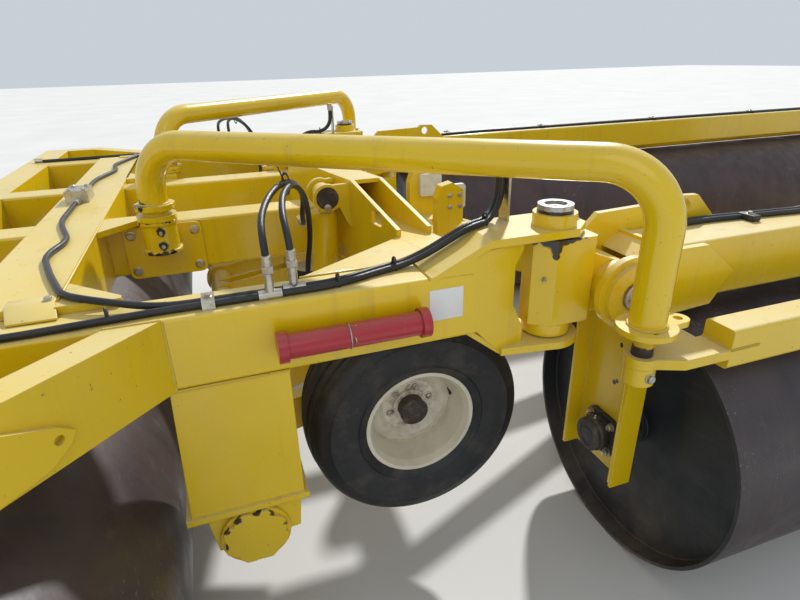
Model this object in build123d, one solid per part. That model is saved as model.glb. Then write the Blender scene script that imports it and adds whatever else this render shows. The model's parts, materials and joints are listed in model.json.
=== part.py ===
from build123d import *

import math
import os

"""Folded three-section land roller, standing on its drums with the wings folded forward.

Millimetres. While it is built, x runs forward from the centre drum's axle, y to the left from
the middle of the machine and z up from the ground. place() then moves it so that the middle of
its outline lies over the origin. Every side piece is drawn for the right side, where y is
negative, and mirrored for the left.
"""

# Drums
DRUM_R = 533.4
DRUM_WALL = 12.7
DRUM_RECESS = 70.0
DRUM_END = 16.0
DRUM_BOSS_R = 75.0
STUB_INSIDE = 60.0
CENTRE_DRUM_LENGTH = 3658.0
WING_DRUM_LENGTH = 5182.0
SHAFT_R = 37.5
SHAFT_STICK_OUT = 128.0
RUN_FIT = 0.05
MOVE_GAP = 6.0

# Frame tubes
TUBE_H = 203.0
TUBE_W = 152.0
TUBE_WALL = 9.5
TUBE_CORNER = 12.0
FRAME_TOP = 1313.0
FRAME_BOTTOM = FRAME_TOP - TUBE_H
RAIL_Y = 1324.0
INNER_BEAM_Y = 373.0
REAR_TUBE_X = -254.0
PLATE = 16.0

# Wide beam over the front of the centre drum
OVER_BEAM_BACK = 122.0
OVER_BEAM_FRONT = 352.0
OVER_BEAM_TOP = FRAME_TOP + 22.0

# Front cross member, swept forward from the middle to the rails
SWEPT_MID_X = 1128.0
SWEPT_RAIL_X = 1392.0
SWEPT_DEPTH = 130.0
SWEPT_TOP = 1452.0
SWEPT_TALL_Y = 665.0
SWEPT_LOW_Y = 1000.0
SWEPT_WINDOW_Y = 860.0
BEAM_GUSSET = 150.0

# Rail end, the fork that holds the fold hinge
FOLD_X = 1743.0
FOLD_Y = RAIL_Y
FOLD_PIN_R = 55.0
FOLD_BORE_R = 34.0
FOLD_BOSS_R = 68.0
FOLD_EYE_R = 105.0
FORK_PLATE = 25.0
FORK_TOP = 1400.0
FORK_BOTTOM = 1015.0
RAIL_END_X = 1440.0
SLOPE_X = 140.0
FORK_NOTCH_X = 1583.0
FORK_TIP_X = 1625.0
FORK_CLOSE_IN = 25.0
FORK_PLATE_X = 1850.0
FORK_INNER_Y = 1190.0
PIN_TOP = 1465.0
PIN_BOTTOM = 985.0

# Hinge block and float pin
BLOCK_BACK = 1655.0
BLOCK_CREASE = 1715.0
BLOCK_FRONT = 1862.0
BLOCK_W = 152.0
BLOCK_BOTTOM = 1085.0
SPACER_R = 78.0
FLOAT_X = 1940.0
FLOAT_Z = 1194.0
FLOAT_PIN_R = 46.0
FLOAT_BARREL_R = 82.0
EAR_R = 118.0
EAR_PLATE = 25.0
EAR_BOSS_R = 98.0
EAR_BOSS = 20.0
LUG_X = 2332.0
LUG_Z = 1374.0
LUG_BORE_R = 26.0
LUG_R = 52.0

# Wing frame
WING_DRUM_X = 2134.0
WING_DRUM_Y = 1326.0
WING_TUBE_Y = 1352.0
WING_TUBE_W = 203.0
WING_TUBE_TOP = 1320.0
WING_TUBE_BOTTOM = WING_TUBE_TOP - TUBE_H
END_PLATE = 20.0
END_GAP = 54.0
HANGER_W = 300.0
HANGER_DEPTH = 86.0
HANGER_FLANGE = 14.0
HANGER_LOW = 392.0
HANGER_TOP = 1058.0
SIDE_TUBE_Y = 1669.0
SIDE_TUBE_W = 102.0
SIDE_TUBE_TOP = 1146.0
SIDE_TUBE_H = 127.0
SIDE_TUBE_X = 2107.0
STRUT_COUNT = 3

# Bearings on the drum shafts
BEARING_R = 92.0
BEARING_BOLT_R = 80.0
BEARING_FLANGE = 18.0
BEARING_NOSE = 34.0
BEARING_NOSE_R = 64.0

# Transport brace: an arched pipe from a sleeve on the inner beam to a pin on the wing
BRACE_FOOT = (556.0, -545.0)
BRACE_PIN = (1859.0, -1640.0)
BRACE_R = 50.8
BRACE_TOP = 1620.0
BRACE_BEND = 168.0
SLEEVE_R = 62.0
SLEEVE_TOP = 1350.0
SLEEVE_BOTTOM = 1228.0
BRACE_FLANGE_Z = 1160.0
BRACE_FLANGE = 18.0
BRACE_FLANGE_R = 84.0
BRACE_PIN_R = 30.0
EYE_PLATE_TOP = 1085.0
EYE_PLATE = 32.0
EYE_R = 48.0

# Transport wheels on a cross shaft under the legs
AXLE_X = 731.0
AXLE_Z = 565.0
AXLE_R = 70.0
WHEEL_X = 1339.0
WHEEL_Z = 688.0
WHEEL_Y = 1095.0
TYRE_R = 400.0
TYRE_W = 296.0
RIM_R = 203.0
RIM_W = 254.0
RIM_WALL = 12.0
HUB_R = 56.0
SPINDLE_R = 24.0
LEG_BACK = 590.0
LEG_FRONT = 888.0
LEG_BOTTOM = 683.0
ARM_Y = 868.0
LEVER_Y = 580.0
LIFT_TOP = (1178.0, 1388.0)
LIFT_LOW = (1139.0, 662.0)
BARREL_R = 55.0
ROD_R = 25.0
LIFT_PIN_R = 20.0
LIFT_LUG_Y = 56.0
LIFT_LUG = 20.0
PORT_R = 13.0
PORT_REACH = 44.0
PORT_DROPS = (90.0, 520.0)

# Tongue
TONGUE_PIVOT_X = 1340.0
TONGUE_PIVOT_Z = 985.0
TONGUE_ROOT_Y = 300.0
TONGUE_JOIN_X = 3300.0
TONGUE_FLAT_X = 3100.0
TONGUE_Z = 560.0
TONGUE_W = 152.0
TONGUE_H = 203.0
HITCH_X = 8560.0
HITCH_PIN_R = 19.5
HITCH_GAP = 60.0
HITCH_PLATE = 25.0
HITCH_EYE_R = 50.0
JACK_X = 7350.0
JACK_R = 38.0
JACK_FOOT = 190.0
SWIVEL_GAP = 0.3
JACK_Y = -TONGUE_W / 2 - 64.0
TONGUE_PIN_R = 25.0
POST_BACK = 1817.0
POST_FRONT = 1962.0
POST_Y = 200.0
POST_TOP = 1302.0

# Hydraulic hoses: two along each rail, two along each wing, two loops down to each lift cylinder
HOSE_R = 9.5
HOSE_PITCH = 24.0
HOSE_REST = 0.3
HOSE_BEND = 600.0
HOSE_Z = FRAME_TOP + HOSE_R + HOSE_REST
BEAM_HOSE_Z = OVER_BEAM_TOP + HOSE_R + HOSE_REST
FORK_HOSE_Z = FORK_TOP + HOSE_R + HOSE_REST
COUPLER_R = 14.0
COUPLER = 44.0
TEE_XS = (866.0, 932.0)
TEE_Y = 1352.0
TEE_R = 14.0
TEE_HALF = 30.0
TEE_TOP = HOSE_Z + 62.0
TEE_RUN = 48.0
CLAMP_X = 712.0
MANIFOLD_X = 210.0
MANIFOLD_Y = 90.0
# (x, distance from the middle, z) from the rear end of the rail to the fork
RAIL_HOSE = [(-230, 1372, HOSE_Z), (300, 1372, HOSE_Z), (590, TEE_Y, HOSE_Z), (1040, TEE_Y, HOSE_Z),
             (1180, 1300, HOSE_Z), (1270, 1284, HOSE_Z + 5), (1340, 1282, HOSE_Z + 28),
             (1475, 1280, FORK_HOSE_Z + 4), (1545, 1247, FORK_HOSE_Z + 2), (1590, 1222, FORK_HOSE_Z + 28),
             (1612, 1208, FORK_HOSE_Z + 70), (1615, 1206, FORK_HOSE_Z + 112), (1615, 1206, FORK_HOSE_Z + 144)]
# from the manifold over the wide beam to the rail, where it joins the second hose
BEAM_HOSE = [(MANIFOLD_X, MANIFOLD_Y, BEAM_HOSE_Z), (MANIFOLD_X, 420, BEAM_HOSE_Z),
             (285, 690, BEAM_HOSE_Z), (245, 850, BEAM_HOSE_Z), (300, 1040, BEAM_HOSE_Z),
             (360, 1215, BEAM_HOSE_Z), (440, 1283, BEAM_HOSE_Z)]
WING_HOSE = [(2290, 1284), (2420, 1284), (2811, 1326), (6900, 1326)]
# from the tee on the rail, over, and down to the lift cylinder's port
UPPER_LOOP = [(865, 1342, 1478), (872, 1285, 1510), (905, 1190, 1538), (953, 1085, 1549),
              (1003, 980, 1534), (1043, 880, 1486), (1063, 800, 1430), (1062, 745, 1366), (1068, 708, 1326)]
LOWER_LOOP = [(930, 1319, 1474), (930, 1262, 1512), (948, 1172, 1540), (992, 1070, 1546),
              (1039, 960, 1492), (1064, 880, 1400), (1070, 825, 1290), (1056, 803, 1190),
              (1046, 800, 1080), (1045, 785, 968), (1048, 750, 908)]
PORT_RUNS = (44.0, 70.0)

X_MID = (HITCH_X + HITCH_EYE_R - DRUM_R) / 2


# Simple solids, all in machine coordinates
def block(x0, x1, y0, y1, z0, z1):
    size = (abs(x1 - x0), abs(y1 - y0), abs(z1 - z0))
    return Pos((x0 + x1) / 2, (y0 + y1) / 2, (z0 + z1) / 2) * Box(*size)


def rod_x(radius, x0, x1, y, z):
    return Pos((x0 + x1) / 2, y, z) * Rot(0, 90, 0) * Cylinder(radius, abs(x1 - x0))


def rod_y(radius, y0, y1, x, z):
    return Pos(x, (y0 + y1) / 2, z) * Rot(90, 0, 0) * Cylinder(radius, abs(y1 - y0))


def rod_z(radius, z0, z1, x, y):
    return Pos(x, y, (z0 + z1) / 2) * Cylinder(radius, abs(z1 - z0))


def plate_xz(points, y0, y1):
    """Flat plate whose outline is given as (x, z) corners, thick from y0 to y1."""
    face = make_face(Polyline([(x, y0, z) for x, z in points], close=True))
    return extrude(face, amount=abs(y1 - y0), dir=(0, math.copysign(1, y1 - y0), 0))


def plate_xy(points, z0, z1):
    """Flat plate whose outline is given as (x, y) corners, thick from z0 to z1."""
    face = make_face(Polyline([(x, y, z0) for x, y in points], close=True))
    return extrude(face, amount=z1 - z0, dir=(0, 0, 1))


def plate_yz(points, x0, x1):
    """Flat plate whose outline is given as (y, z) corners, thick from x0 to x1."""
    face = make_face(Polyline([(x0, y, z) for y, z in points], close=True))
    return extrude(face, amount=x1 - x0, dir=(1, 0, 0))


def round_end(x, y, radius, root, width, z0, z1):
    """Plate with a round eye at (x, y) that widens to a straight root edge at x = root."""
    return rod_z(radius, z0, z1, x, y) + plate_xy(
        [(x, y - radius), (root, y - width / 2), (root, y + width / 2), (x, y + radius)], z0, z1)


def box_tube(x0, x1, y0, y1, z0, z1):
    """Closed box of plate, as a capped tube is."""
    w = TUBE_WALL
    return block(x0, x1, y0, y1, z0, z1) - block(x0 + w, x1 - w, y0 + w, y1 - w, z0 + w, z1 - w)


def tube_run(x0, x1, y, width, bottom, top):
    """Capped tube along x with rounded long corners."""
    y0 = y - width / 2
    y1 = y + width / 2
    w = TUBE_WALL
    body = fillet(block(x0, x1, y0, y1, bottom, top).edges().filter_by(Axis.X), TUBE_CORNER)
    return body - block(x0 + w, x1 - w, y0 + w, y1 - w, bottom + w, top - w)


def corner_radii(points, most):
    """Radius at each inner corner of a route: as large as its two runs allow, up to the most."""
    spots = [Vector(*p) for p in points]
    radii = []
    for before, here, after in zip(spots, spots[1:], spots[2:]):
        turn = math.radians((here - before).get_angle(after - here))
        run = min((here - before).length, (after - here).length)
        radii.append(min(most, 0.45 * run / math.tan(turn / 2)))
    return radii


def hose(points, most=math.inf):
    """Hose along straight runs joined by tangent arcs."""
    radii = corner_radii(points, most)
    path = FilletPolyline([Vector(*p) for p in points], radius=radii)
    start = Vector(*points[0])
    section = Plane(origin=start, z_dir=Vector(*points[1]) - start) * Circle(HOSE_R)
    tube = one(sweep(section, path=path))
    print("hose", round(path.length), "least radius", round(min(radii)),
          "volume share", round(tube.volume / (path.length * math.pi * HOSE_R ** 2), 4))
    return tube


def mirrored(part):
    return mirror(part, about=Plane.XZ)


def one(shape):
    """The single solid of a shape."""
    found = shape.solids()
    assert len(found) == 1, len(found)
    return found[0]


# Drums
def drum(length):
    """Rolled shell along z with an end plate set in at each end and a stub shaft through its boss."""
    half = length / 2
    plate_out = half - DRUM_RECESS
    plate_in = plate_out - DRUM_END
    body = Cylinder(DRUM_R, length) - Cylinder(DRUM_R - DRUM_WALL, 2 * plate_in)
    for side in (-1, 1):
        body -= rod_z(DRUM_R - DRUM_WALL, side * plate_out, side * half, 0, 0)
        body += rod_z(DRUM_BOSS_R, side * (plate_in - 20), side * (plate_out + 20), 0, 0)
        body += rod_z(SHAFT_R, side * (plate_in - STUB_INSIDE), side * (half + SHAFT_STICK_OUT), 0, 0)
    return one(body)


def centre_drum():
    return Pos(0, 0, DRUM_R) * Rot(90, 0, 0) * drum(CENTRE_DRUM_LENGTH)


def wing_drum():
    middle = WING_DRUM_X + WING_DRUM_LENGTH / 2
    return Pos(middle, -WING_DRUM_Y, DRUM_R) * Rot(0, 90, 0) * drum(WING_DRUM_LENGTH)


def bearing():
    """Four-bolt flange bearing on the z axis; it bolts on at z = 0 and covers the shaft's end."""
    flange = Box(2 * BEARING_R - 20, 2 * BEARING_R - 20, BEARING_FLANGE)
    flange = fillet(flange.edges().filter_by(Axis.Z), 40)
    body = Pos(0, 0, BEARING_FLANGE / 2) * flange
    cap = BEARING_FLANGE + BEARING_NOSE + 22
    body += Pos(0, 0, cap / 2) * Cylinder(BEARING_NOSE_R, cap)
    bore = cap - 14
    body -= Pos(0, 0, bore / 2) * Cylinder(SHAFT_R + RUN_FIT, bore)
    return one(body)


# Centre frame
def side_rail():
    """Outer tube of the centre frame, ending in the fork that carries the fold pin."""
    outer = -RAIL_Y - TUBE_W / 2
    inner = -RAIL_Y + TUBE_W / 2
    low_z = FORK_BOTTOM + FORK_PLATE
    top_z = FORK_TOP - FORK_PLATE
    start = RAIL_END_X - SLOPE_X
    bend = RAIL_END_X + 50
    rail = tube_run(REAR_TUBE_X - TUBE_W / 2, RAIL_END_X, -RAIL_Y, TUBE_W, FRAME_BOTTOM, FRAME_TOP)
    web = [(RAIL_END_X - 10, FRAME_BOTTOM + 6), (RAIL_END_X + 12, FRAME_BOTTOM + 6),
           (RAIL_END_X + 90, low_z - 8), (FORK_TIP_X, low_z - 8), (FORK_TIP_X, low_z + 50),
           (FORK_NOTCH_X, low_z + 138), (FORK_NOTCH_X, top_z - 70),
           (FORK_TIP_X - 15, top_z - 22), (FORK_TIP_X - 15, top_z + 8), (bend, top_z + 8),
           (start, FRAME_TOP - 4), (RAIL_END_X - 10, FRAME_TOP - 4)]
    for face, way in ((outer, 1), (inner, -1)):
        closed = face + way * FORK_CLOSE_IN
        strip = [(start, face), (RAIL_END_X, face), (FORK_TIP_X, closed),
                 (FORK_TIP_X, closed + way * PLATE), (RAIL_END_X, face + way * PLATE),
                 (start, face + way * PLATE)]
        rail += plate_xz(web, outer, inner) & plate_xy(strip, FORK_BOTTOM, FORK_TOP)
    top = [(bend, outer), (FORK_PLATE_X - 65, outer), (FORK_PLATE_X, outer + 62),
           (FORK_PLATE_X, -FORK_INNER_Y - 35), (FORK_PLATE_X - 35, -FORK_INNER_Y), (bend, -FORK_INNER_Y)]
    rail += plate_xy(top, top_z, FORK_TOP)
    rail += round_end(FOLD_X, -FOLD_Y, FOLD_EYE_R, RAIL_END_X + 100, TUBE_W, FORK_BOTTOM, low_z)
    rail += rod_z(FOLD_BOSS_R, FORK_TOP, PIN_TOP - FORK_PLATE, FOLD_X, -FOLD_Y)
    rise = [(start, FRAME_TOP - 4), (start, FRAME_TOP - 20), (bend, top_z), (bend + 10, top_z),
            (bend + 10, FORK_TOP), (bend, FORK_TOP)]
    widen = [(start, outer), (bend + 10, outer), (bend + 10, -FORK_INNER_Y), (SWEPT_RAIL_X, inner),
             (start, inner)]
    rail += plate_xz(rise, outer, -FORK_INNER_Y) & plate_xy(widen, FRAME_BOTTOM, FORK_TOP)
    fall = [(RAIL_END_X - 20, FRAME_BOTTOM), (RAIL_END_X + 100, FORK_BOTTOM), (RAIL_END_X + 100, low_z),
            (RAIL_END_X - 20, FRAME_BOTTOM + 20)]
    rail += plate_xz(fall, outer + PLATE - 1, inner - PLATE + 1)
    rail -= rod_z(FOLD_PIN_R, FORK_BOTTOM - 50, PIN_TOP, FOLD_X, -FOLD_Y)
    rail -= rod_z(11, FORK_BOTTOM, PIN_TOP, FORK_PLATE_X - 18, -FOLD_Y + 24)
    return one(rail)


def rail_gusset():
    """Flat triangular plate between the rail's top and the swept cross member."""
    inner = -RAIL_Y + TUBE_W / 2
    return plate_xy([(960, inner), (swept_back(inner), inner), (swept_back(-SWEPT_LOW_Y), -SWEPT_LOW_Y)],
                    FRAME_TOP - 14, FRAME_TOP)


def fold_pin():
    """Tube pin through the fork; its ends stand proud of the plates."""
    pin = rod_z(FOLD_PIN_R, PIN_BOTTOM, PIN_TOP, FOLD_X, -FOLD_Y)
    return one(pin - rod_z(FOLD_BORE_R, PIN_TOP - 60, PIN_TOP, FOLD_X, -FOLD_Y))


def inner_beam():
    return tube_run(REAR_TUBE_X + TUBE_W / 2, swept_back(-INNER_BEAM_Y + TUBE_W / 2),
                    -INNER_BEAM_Y, TUBE_W, FRAME_BOTTOM, FRAME_TOP)


def swept_back(y):
    """x of the swept cross member's rear face at a given y."""
    return SWEPT_MID_X + (SWEPT_RAIL_X - SWEPT_MID_X) * abs(y) / (RAIL_Y - TUBE_W / 2)


def swept_member():
    """Cross tube swept forward to the rails, with a tall pierced box on its middle."""
    end = RAIL_Y - TUBE_W / 2
    plan = [(swept_back(0), 0), (swept_back(end), -end), (swept_back(end) + SWEPT_DEPTH, -end),
            (swept_back(0) + SWEPT_DEPTH, 0)]
    half = plate_xy(plan, FRAME_BOTTOM, FRAME_TOP)
    outline = [(0, FRAME_TOP - 5), (-SWEPT_LOW_Y, FRAME_TOP - 5), (-SWEPT_LOW_Y, FRAME_TOP + 25),
               (-SWEPT_TALL_Y, SWEPT_TOP), (0, SWEPT_TOP)]
    tall = plate_yz(outline, SWEPT_MID_X - 50, SWEPT_RAIL_X + SWEPT_DEPTH + 50)
    for gap in (0, SWEPT_DEPTH - PLATE):
        wall = [(x + gap, y) for x, y in plan[:2]] + [(x + gap + PLATE, y) for x, y in plan[1::-1]]
        half += tall & plate_xy(wall, FRAME_TOP - 5, SWEPT_TOP)
    y = -SWEPT_TALL_Y
    lid = [(swept_back(0), 0), (swept_back(y), y), (swept_back(y) + SWEPT_DEPTH, y),
           (swept_back(0) + SWEPT_DEPTH, 0)]
    half += plate_xy(lid, SWEPT_TOP - PLATE, SWEPT_TOP)
    window = block(SWEPT_MID_X, SWEPT_RAIL_X, -SWEPT_WINDOW_Y - 38, -SWEPT_WINDOW_Y + 38,
                   FRAME_TOP + 8, FRAME_TOP + 62)
    half -= fillet(window.edges().filter_by(Axis.X), 14)
    return one(half + mirrored(half))


def over_beam():
    """Wide beam over the drum between the rails."""
    end = RAIL_Y - TUBE_W / 2
    inner0 = INNER_BEAM_Y - TUBE_W / 2
    inner1 = INNER_BEAM_Y + TUBE_W / 2
    body = block(OVER_BEAM_BACK, OVER_BEAM_FRONT, -end, end, FRAME_TOP, OVER_BEAM_TOP)
    for y0, y1 in ((-end, -inner1), (-inner0, inner0), (inner1, end)):
        body += box_tube(OVER_BEAM_BACK, OVER_BEAM_FRONT, y0, y1, FRAME_BOTTOM, FRAME_TOP)
    return one(body)


def beam_gussets():
    """Triangular plates in the corners between the wide beam's top and the long beams, right side."""
    front = OVER_BEAM_FRONT
    plates = []
    for y, way in ((-INNER_BEAM_Y - TUBE_W / 2, -1), (-RAIL_Y + TUBE_W / 2, 1)):
        corner = [(front, y - way * 20), (front + BEAM_GUSSET, y - way * 20), (front + BEAM_GUSSET, y),
                  (front, y + way * BEAM_GUSSET)]
        plates.append(one(plate_xy(corner, FRAME_TOP, OVER_BEAM_TOP)))
    return plates


def rear_tube():
    """Three stretches of the rear cross tube, between the long beams."""
    end = RAIL_Y - TUBE_W / 2
    inner0 = INNER_BEAM_Y - TUBE_W / 2
    inner1 = INNER_BEAM_Y + TUBE_W / 2
    x0 = REAR_TUBE_X - TUBE_W / 2
    x1 = REAR_TUBE_X + TUBE_W / 2
    stretches = [(-end, -inner1), (-inner0, inner0), (inner1, end)]
    ties = [(-inner1, -inner0), (inner0, inner1)]
    body = None
    for y0, y1 in stretches:
        piece = box_tube(x0, x1, y0, y1, FRAME_BOTTOM, FRAME_TOP)
        body = piece if body is None else body + piece
    for y0, y1 in ties:
        body += block(x0, x1, y0, y1, FRAME_BOTTOM, FRAME_TOP)
    return one(body)


END_Y = CENTRE_DRUM_LENGTH / 2 + END_GAP
END_BEAM_W = 102.0
ARM_W = 90.0
ARM_ROOT_X = 600.0


def end_arm():
    """Diagonal arm from the rail to the beam over the drum's end, with its pierced fin."""
    outer = -RAIL_Y - TUBE_W / 2
    beam_y0 = -END_Y - END_BEAM_W
    run = -beam_y0 + outer
    slant = ARM_W * math.sqrt(2)
    plan = [(ARM_ROOT_X, outer), (ARM_ROOT_X - run, beam_y0), (ARM_ROOT_X - run - slant, beam_y0),
            (ARM_ROOT_X - slant, outer)]
    arm = plate_xy(plan, FRAME_BOTTOM, FRAME_TOP)
    beam = block(REAR_TUBE_X - TUBE_W / 2, ARM_ROOT_X - run, beam_y0, -END_Y, FRAME_BOTTOM, FRAME_TOP)
    back = block(REAR_TUBE_X - TUBE_W / 2, REAR_TUBE_X + TUBE_W / 2, outer, beam_y0,
                 FRAME_BOTTOM, FRAME_TOP)
    top = FRAME_TOP - 23
    low = FRAME_BOTTOM + 10
    fin = plate_xz([(268, low + 65), (300, top - 78), (402, top - 28), (520, top), (640, top), (640, low),
                    (458, low), (335, low + 12), (285, low + 40)], 0, PLATE)
    fin -= rod_y(11, -5, PLATE + 5, 306, low + 64)
    turn = Rot(0, 0, 225)
    fin = Pos(ARM_ROOT_X, outer, 0) * turn * fin
    return one(arm + beam + back + fin)


def drum_hanger():
    """Channel that carries the centre drum's bearing, closed at the drum side."""
    inner = -END_Y
    outer = -END_Y - HANGER_DEPTH
    web = block(-HANGER_W / 2, HANGER_W / 2, inner - END_PLATE, inner, HANGER_LOW, FRAME_BOTTOM)
    for side in (-1, 1):
        edge = side * (HANGER_W / 2 - HANGER_FLANGE)
        web += block(edge, edge + side * HANGER_FLANGE, outer, inner, HANGER_LOW, FRAME_BOTTOM)
    return one(web - rod_y(SHAFT_R + 8, outer, inner + 10, 0, DRUM_R))


def centre_bearing():
    return Pos(0, -END_Y - END_PLATE, DRUM_R) * Rot(90, 0, 0) * bearing()


def axle_leg():
    """Box leg under the rail with a foot flange and the cross shaft's bearing block."""
    outer = -RAIL_Y - TUBE_W / 2
    inner = -RAIL_Y + TUBE_W / 2
    side = [(LEG_BACK - 8, FRAME_BOTTOM), (LEG_FRONT, FRAME_BOTTOM), (LEG_FRONT, LEG_BOTTOM),
            (LEG_BACK - 26, LEG_BOTTOM)]
    leg = plate_xz(side, outer, inner)
    leg += block(LEG_BACK - 42, LEG_FRONT + 14, outer - 8, inner + 8, LEG_BOTTOM - 20, LEG_BOTTOM)
    cheek = [(LEG_BACK + 10, LEG_BOTTOM - 20), (LEG_FRONT - 10, LEG_BOTTOM - 20),
             (LEG_FRONT - 22, AXLE_Z - 20), (LEG_BACK + 30, AXLE_Z - 40)]
    leg += plate_xz(cheek, outer + 12, inner - 12)
    leg += rod_y(AXLE_R + 34, outer - 2, inner + 6, AXLE_X, AXLE_Z)
    return one(leg - rod_y(AXLE_R + RUN_FIT, outer - 10, inner + 10, AXLE_X, AXLE_Z))


def leg_cap():
    """Notched octagonal cap over the end of the cross shaft."""
    y0 = -RAIL_Y - TUBE_W / 2 - 2
    count = 8
    points = [(AXLE_X + (AXLE_R + 30) * math.cos(a), AXLE_Z + (AXLE_R + 30) * math.sin(a))
              for a in [math.pi * (2 * i + 1) / count for i in range(count)]]
    cap = plate_xz(points, y0, y0 - 12)
    for i in range(count):
        a = 2 * math.pi * i / count
        cap -= rod_y(11, y0 + 5, y0 - 20, AXLE_X + (AXLE_R + 27) * math.cos(a),
                     AXLE_Z + (AXLE_R + 27) * math.sin(a))
    return one(cap)


def brace_sleeve():
    """Sleeve that the arched pipe turns in, with rings and grease plugs, on a plate on the inner beam."""
    x, y = BRACE_FOOT
    beam_face = -INNER_BEAM_Y - TUBE_W / 2
    plate = block(x - 145, x + 145, beam_face - 14, beam_face, FRAME_BOTTOM - 12, FRAME_TOP - 8)
    plate = fillet(plate.edges().filter_by(Axis.Y), 25)
    sleeve = rod_z(SLEEVE_R, SLEEVE_BOTTOM, SLEEVE_TOP, x, y)
    for z in (SLEEVE_TOP - 12, SLEEVE_BOTTOM):
        sleeve += rod_z(SLEEVE_R + 8, z, z + 12, x, y)
    for z in (SLEEVE_TOP - 36, SLEEVE_BOTTOM + 34):
        sleeve += rod_y(11, y - SLEEVE_R - 9, y, x + 8, z)
    sleeve += block(x - 40, x + 40, y + SLEEVE_R - 20, beam_face - 10, SLEEVE_BOTTOM + 6, SLEEVE_TOP - 14)
    sleeve -= rod_z(BRACE_R + RUN_FIT, SLEEVE_BOTTOM - 5, SLEEVE_TOP + 5, x, y)
    return one(plate + sleeve)


def cylinder_stop():
    """Stroke limiter stored on the rail's side: a short tube with a collar at each end."""
    y = -RAIL_Y - TUBE_W / 2 - 42
    z = 1205.0
    tube = rod_x(34, 884, 1250, y, z)
    for x in (860, 1250):
        tube += rod_x(42, x, x + 26, y, z)
    return one(tube)


def lift_lugs():
    """Pair of lugs on the cross member's back with the lift cylinder's upper pin between them."""
    x, z = LIFT_TOP
    back = swept_back(-LEVER_Y) + SWEPT_DEPTH / 2
    reach = LIFT_LUG_Y + LIFT_LUG
    solids = rod_y(LIFT_PIN_R, -LEVER_Y - reach, -LEVER_Y + reach, x, z)
    for y in (-LEVER_Y - reach, -LEVER_Y + LIFT_LUG_Y):
        side = [(x - 30, z - 52), (x + 46, z - 40), (x + 72, z - 100), (back, z - 200), (back, z + 50),
                (x + 40, z + 50), (x - 20, z + 44)]
        solids += plate_xz(side, y, y + LIFT_LUG)
        solids += rod_y(54, y, y + LIFT_LUG, x, z)
    recess = rod_y(LIFT_PIN_R + 14, -LEVER_Y - reach - 5, -LEVER_Y - reach + 12, x, z)
    end = RAIL_Y - TUBE_W / 2
    member = plate_xy([(swept_back(0), 0), (swept_back(end), -end), (SWEPT_RAIL_X + 300, -end),
                       (SWEPT_RAIL_X + 300, 0)], FRAME_BOTTOM - 50, SWEPT_TOP + 50)
    return one(solids - recess - member)


# Fold hinge, right side
def hinge_block():
    """Block that turns on the fold pin, with the float pin's barrel in front."""
    z1 = FORK_TOP - FORK_PLATE - MOVE_GAP
    y0 = -FOLD_Y - BLOCK_W / 2
    y1 = -EAR_IN_Y - MOVE_GAP
    plan = [(BLOCK_CREASE, y0), (BLOCK_FRONT - 12, y0), (BLOCK_FRONT, y0 + 12), (BLOCK_FRONT, y1 - 12),
            (BLOCK_FRONT - 12, y1), (BLOCK_CREASE, y1), (BLOCK_BACK, y1 - 44), (BLOCK_BACK, y0 + 44)]
    body = plate_xy(plan, BLOCK_BOTTOM, z1)
    z0 = FORK_BOTTOM + FORK_PLATE + MOVE_GAP
    body += rod_z(SPACER_R, z0, BLOCK_BOTTOM, FOLD_X, -FOLD_Y)
    barrel0 = -EAR_OUT_Y + MOVE_GAP
    barrel1 = -EAR_IN_Y - MOVE_GAP
    body += plate_xz([(BLOCK_FRONT - 20, FLOAT_Z - 90), (FLOAT_X, FLOAT_Z - FLOAT_BARREL_R),
                      (FLOAT_X, FLOAT_Z + FLOAT_BARREL_R), (BLOCK_FRONT - 20, FLOAT_Z + 120)],
                     y0 + 14, y1 - 14)
    body += rod_y(FLOAT_BARREL_R, barrel0, barrel1, FLOAT_X, FLOAT_Z)
    body -= rod_z(FOLD_PIN_R + RUN_FIT, z0 - 5, z1 + 5, FOLD_X, -FOLD_Y)
    body -= rod_y(FLOAT_PIN_R + RUN_FIT, barrel0 - 5, barrel1 + 5, FLOAT_X, FLOAT_Z)
    return one(body)


# Wing, right side
WING_END_X = WING_DRUM_X + WING_DRUM_LENGTH + END_GAP
WING_ROOT_X = WING_DRUM_X - END_GAP
# The ears lie against the two sides of the wing's main tube
EAR_IN_Y = WING_TUBE_Y - WING_TUBE_W / 2
EAR_OUT_Y = WING_TUBE_Y + WING_TUBE_W / 2


def wing_tube():
    """Main tube of the wing."""
    return one(tube_run(WING_ROOT_X, WING_END_X, -WING_TUBE_Y, WING_TUBE_W, WING_TUBE_BOTTOM, WING_TUBE_TOP))


def ear_outline(top_edge):
    """Outline of an ear: round the float pin behind, pointed along the tube in front."""
    tip = LUG_X + 20
    low = FLOAT_Z - EAR_R + 14
    return [(FLOAT_X - 12, FLOAT_Z - EAR_R + 2), (FLOAT_X + 54, low), (WING_ROOT_X, low),
            (tip - 75, WING_TUBE_BOTTOM - 14), (tip, WING_TUBE_TOP - 110)] + top_edge


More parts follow.
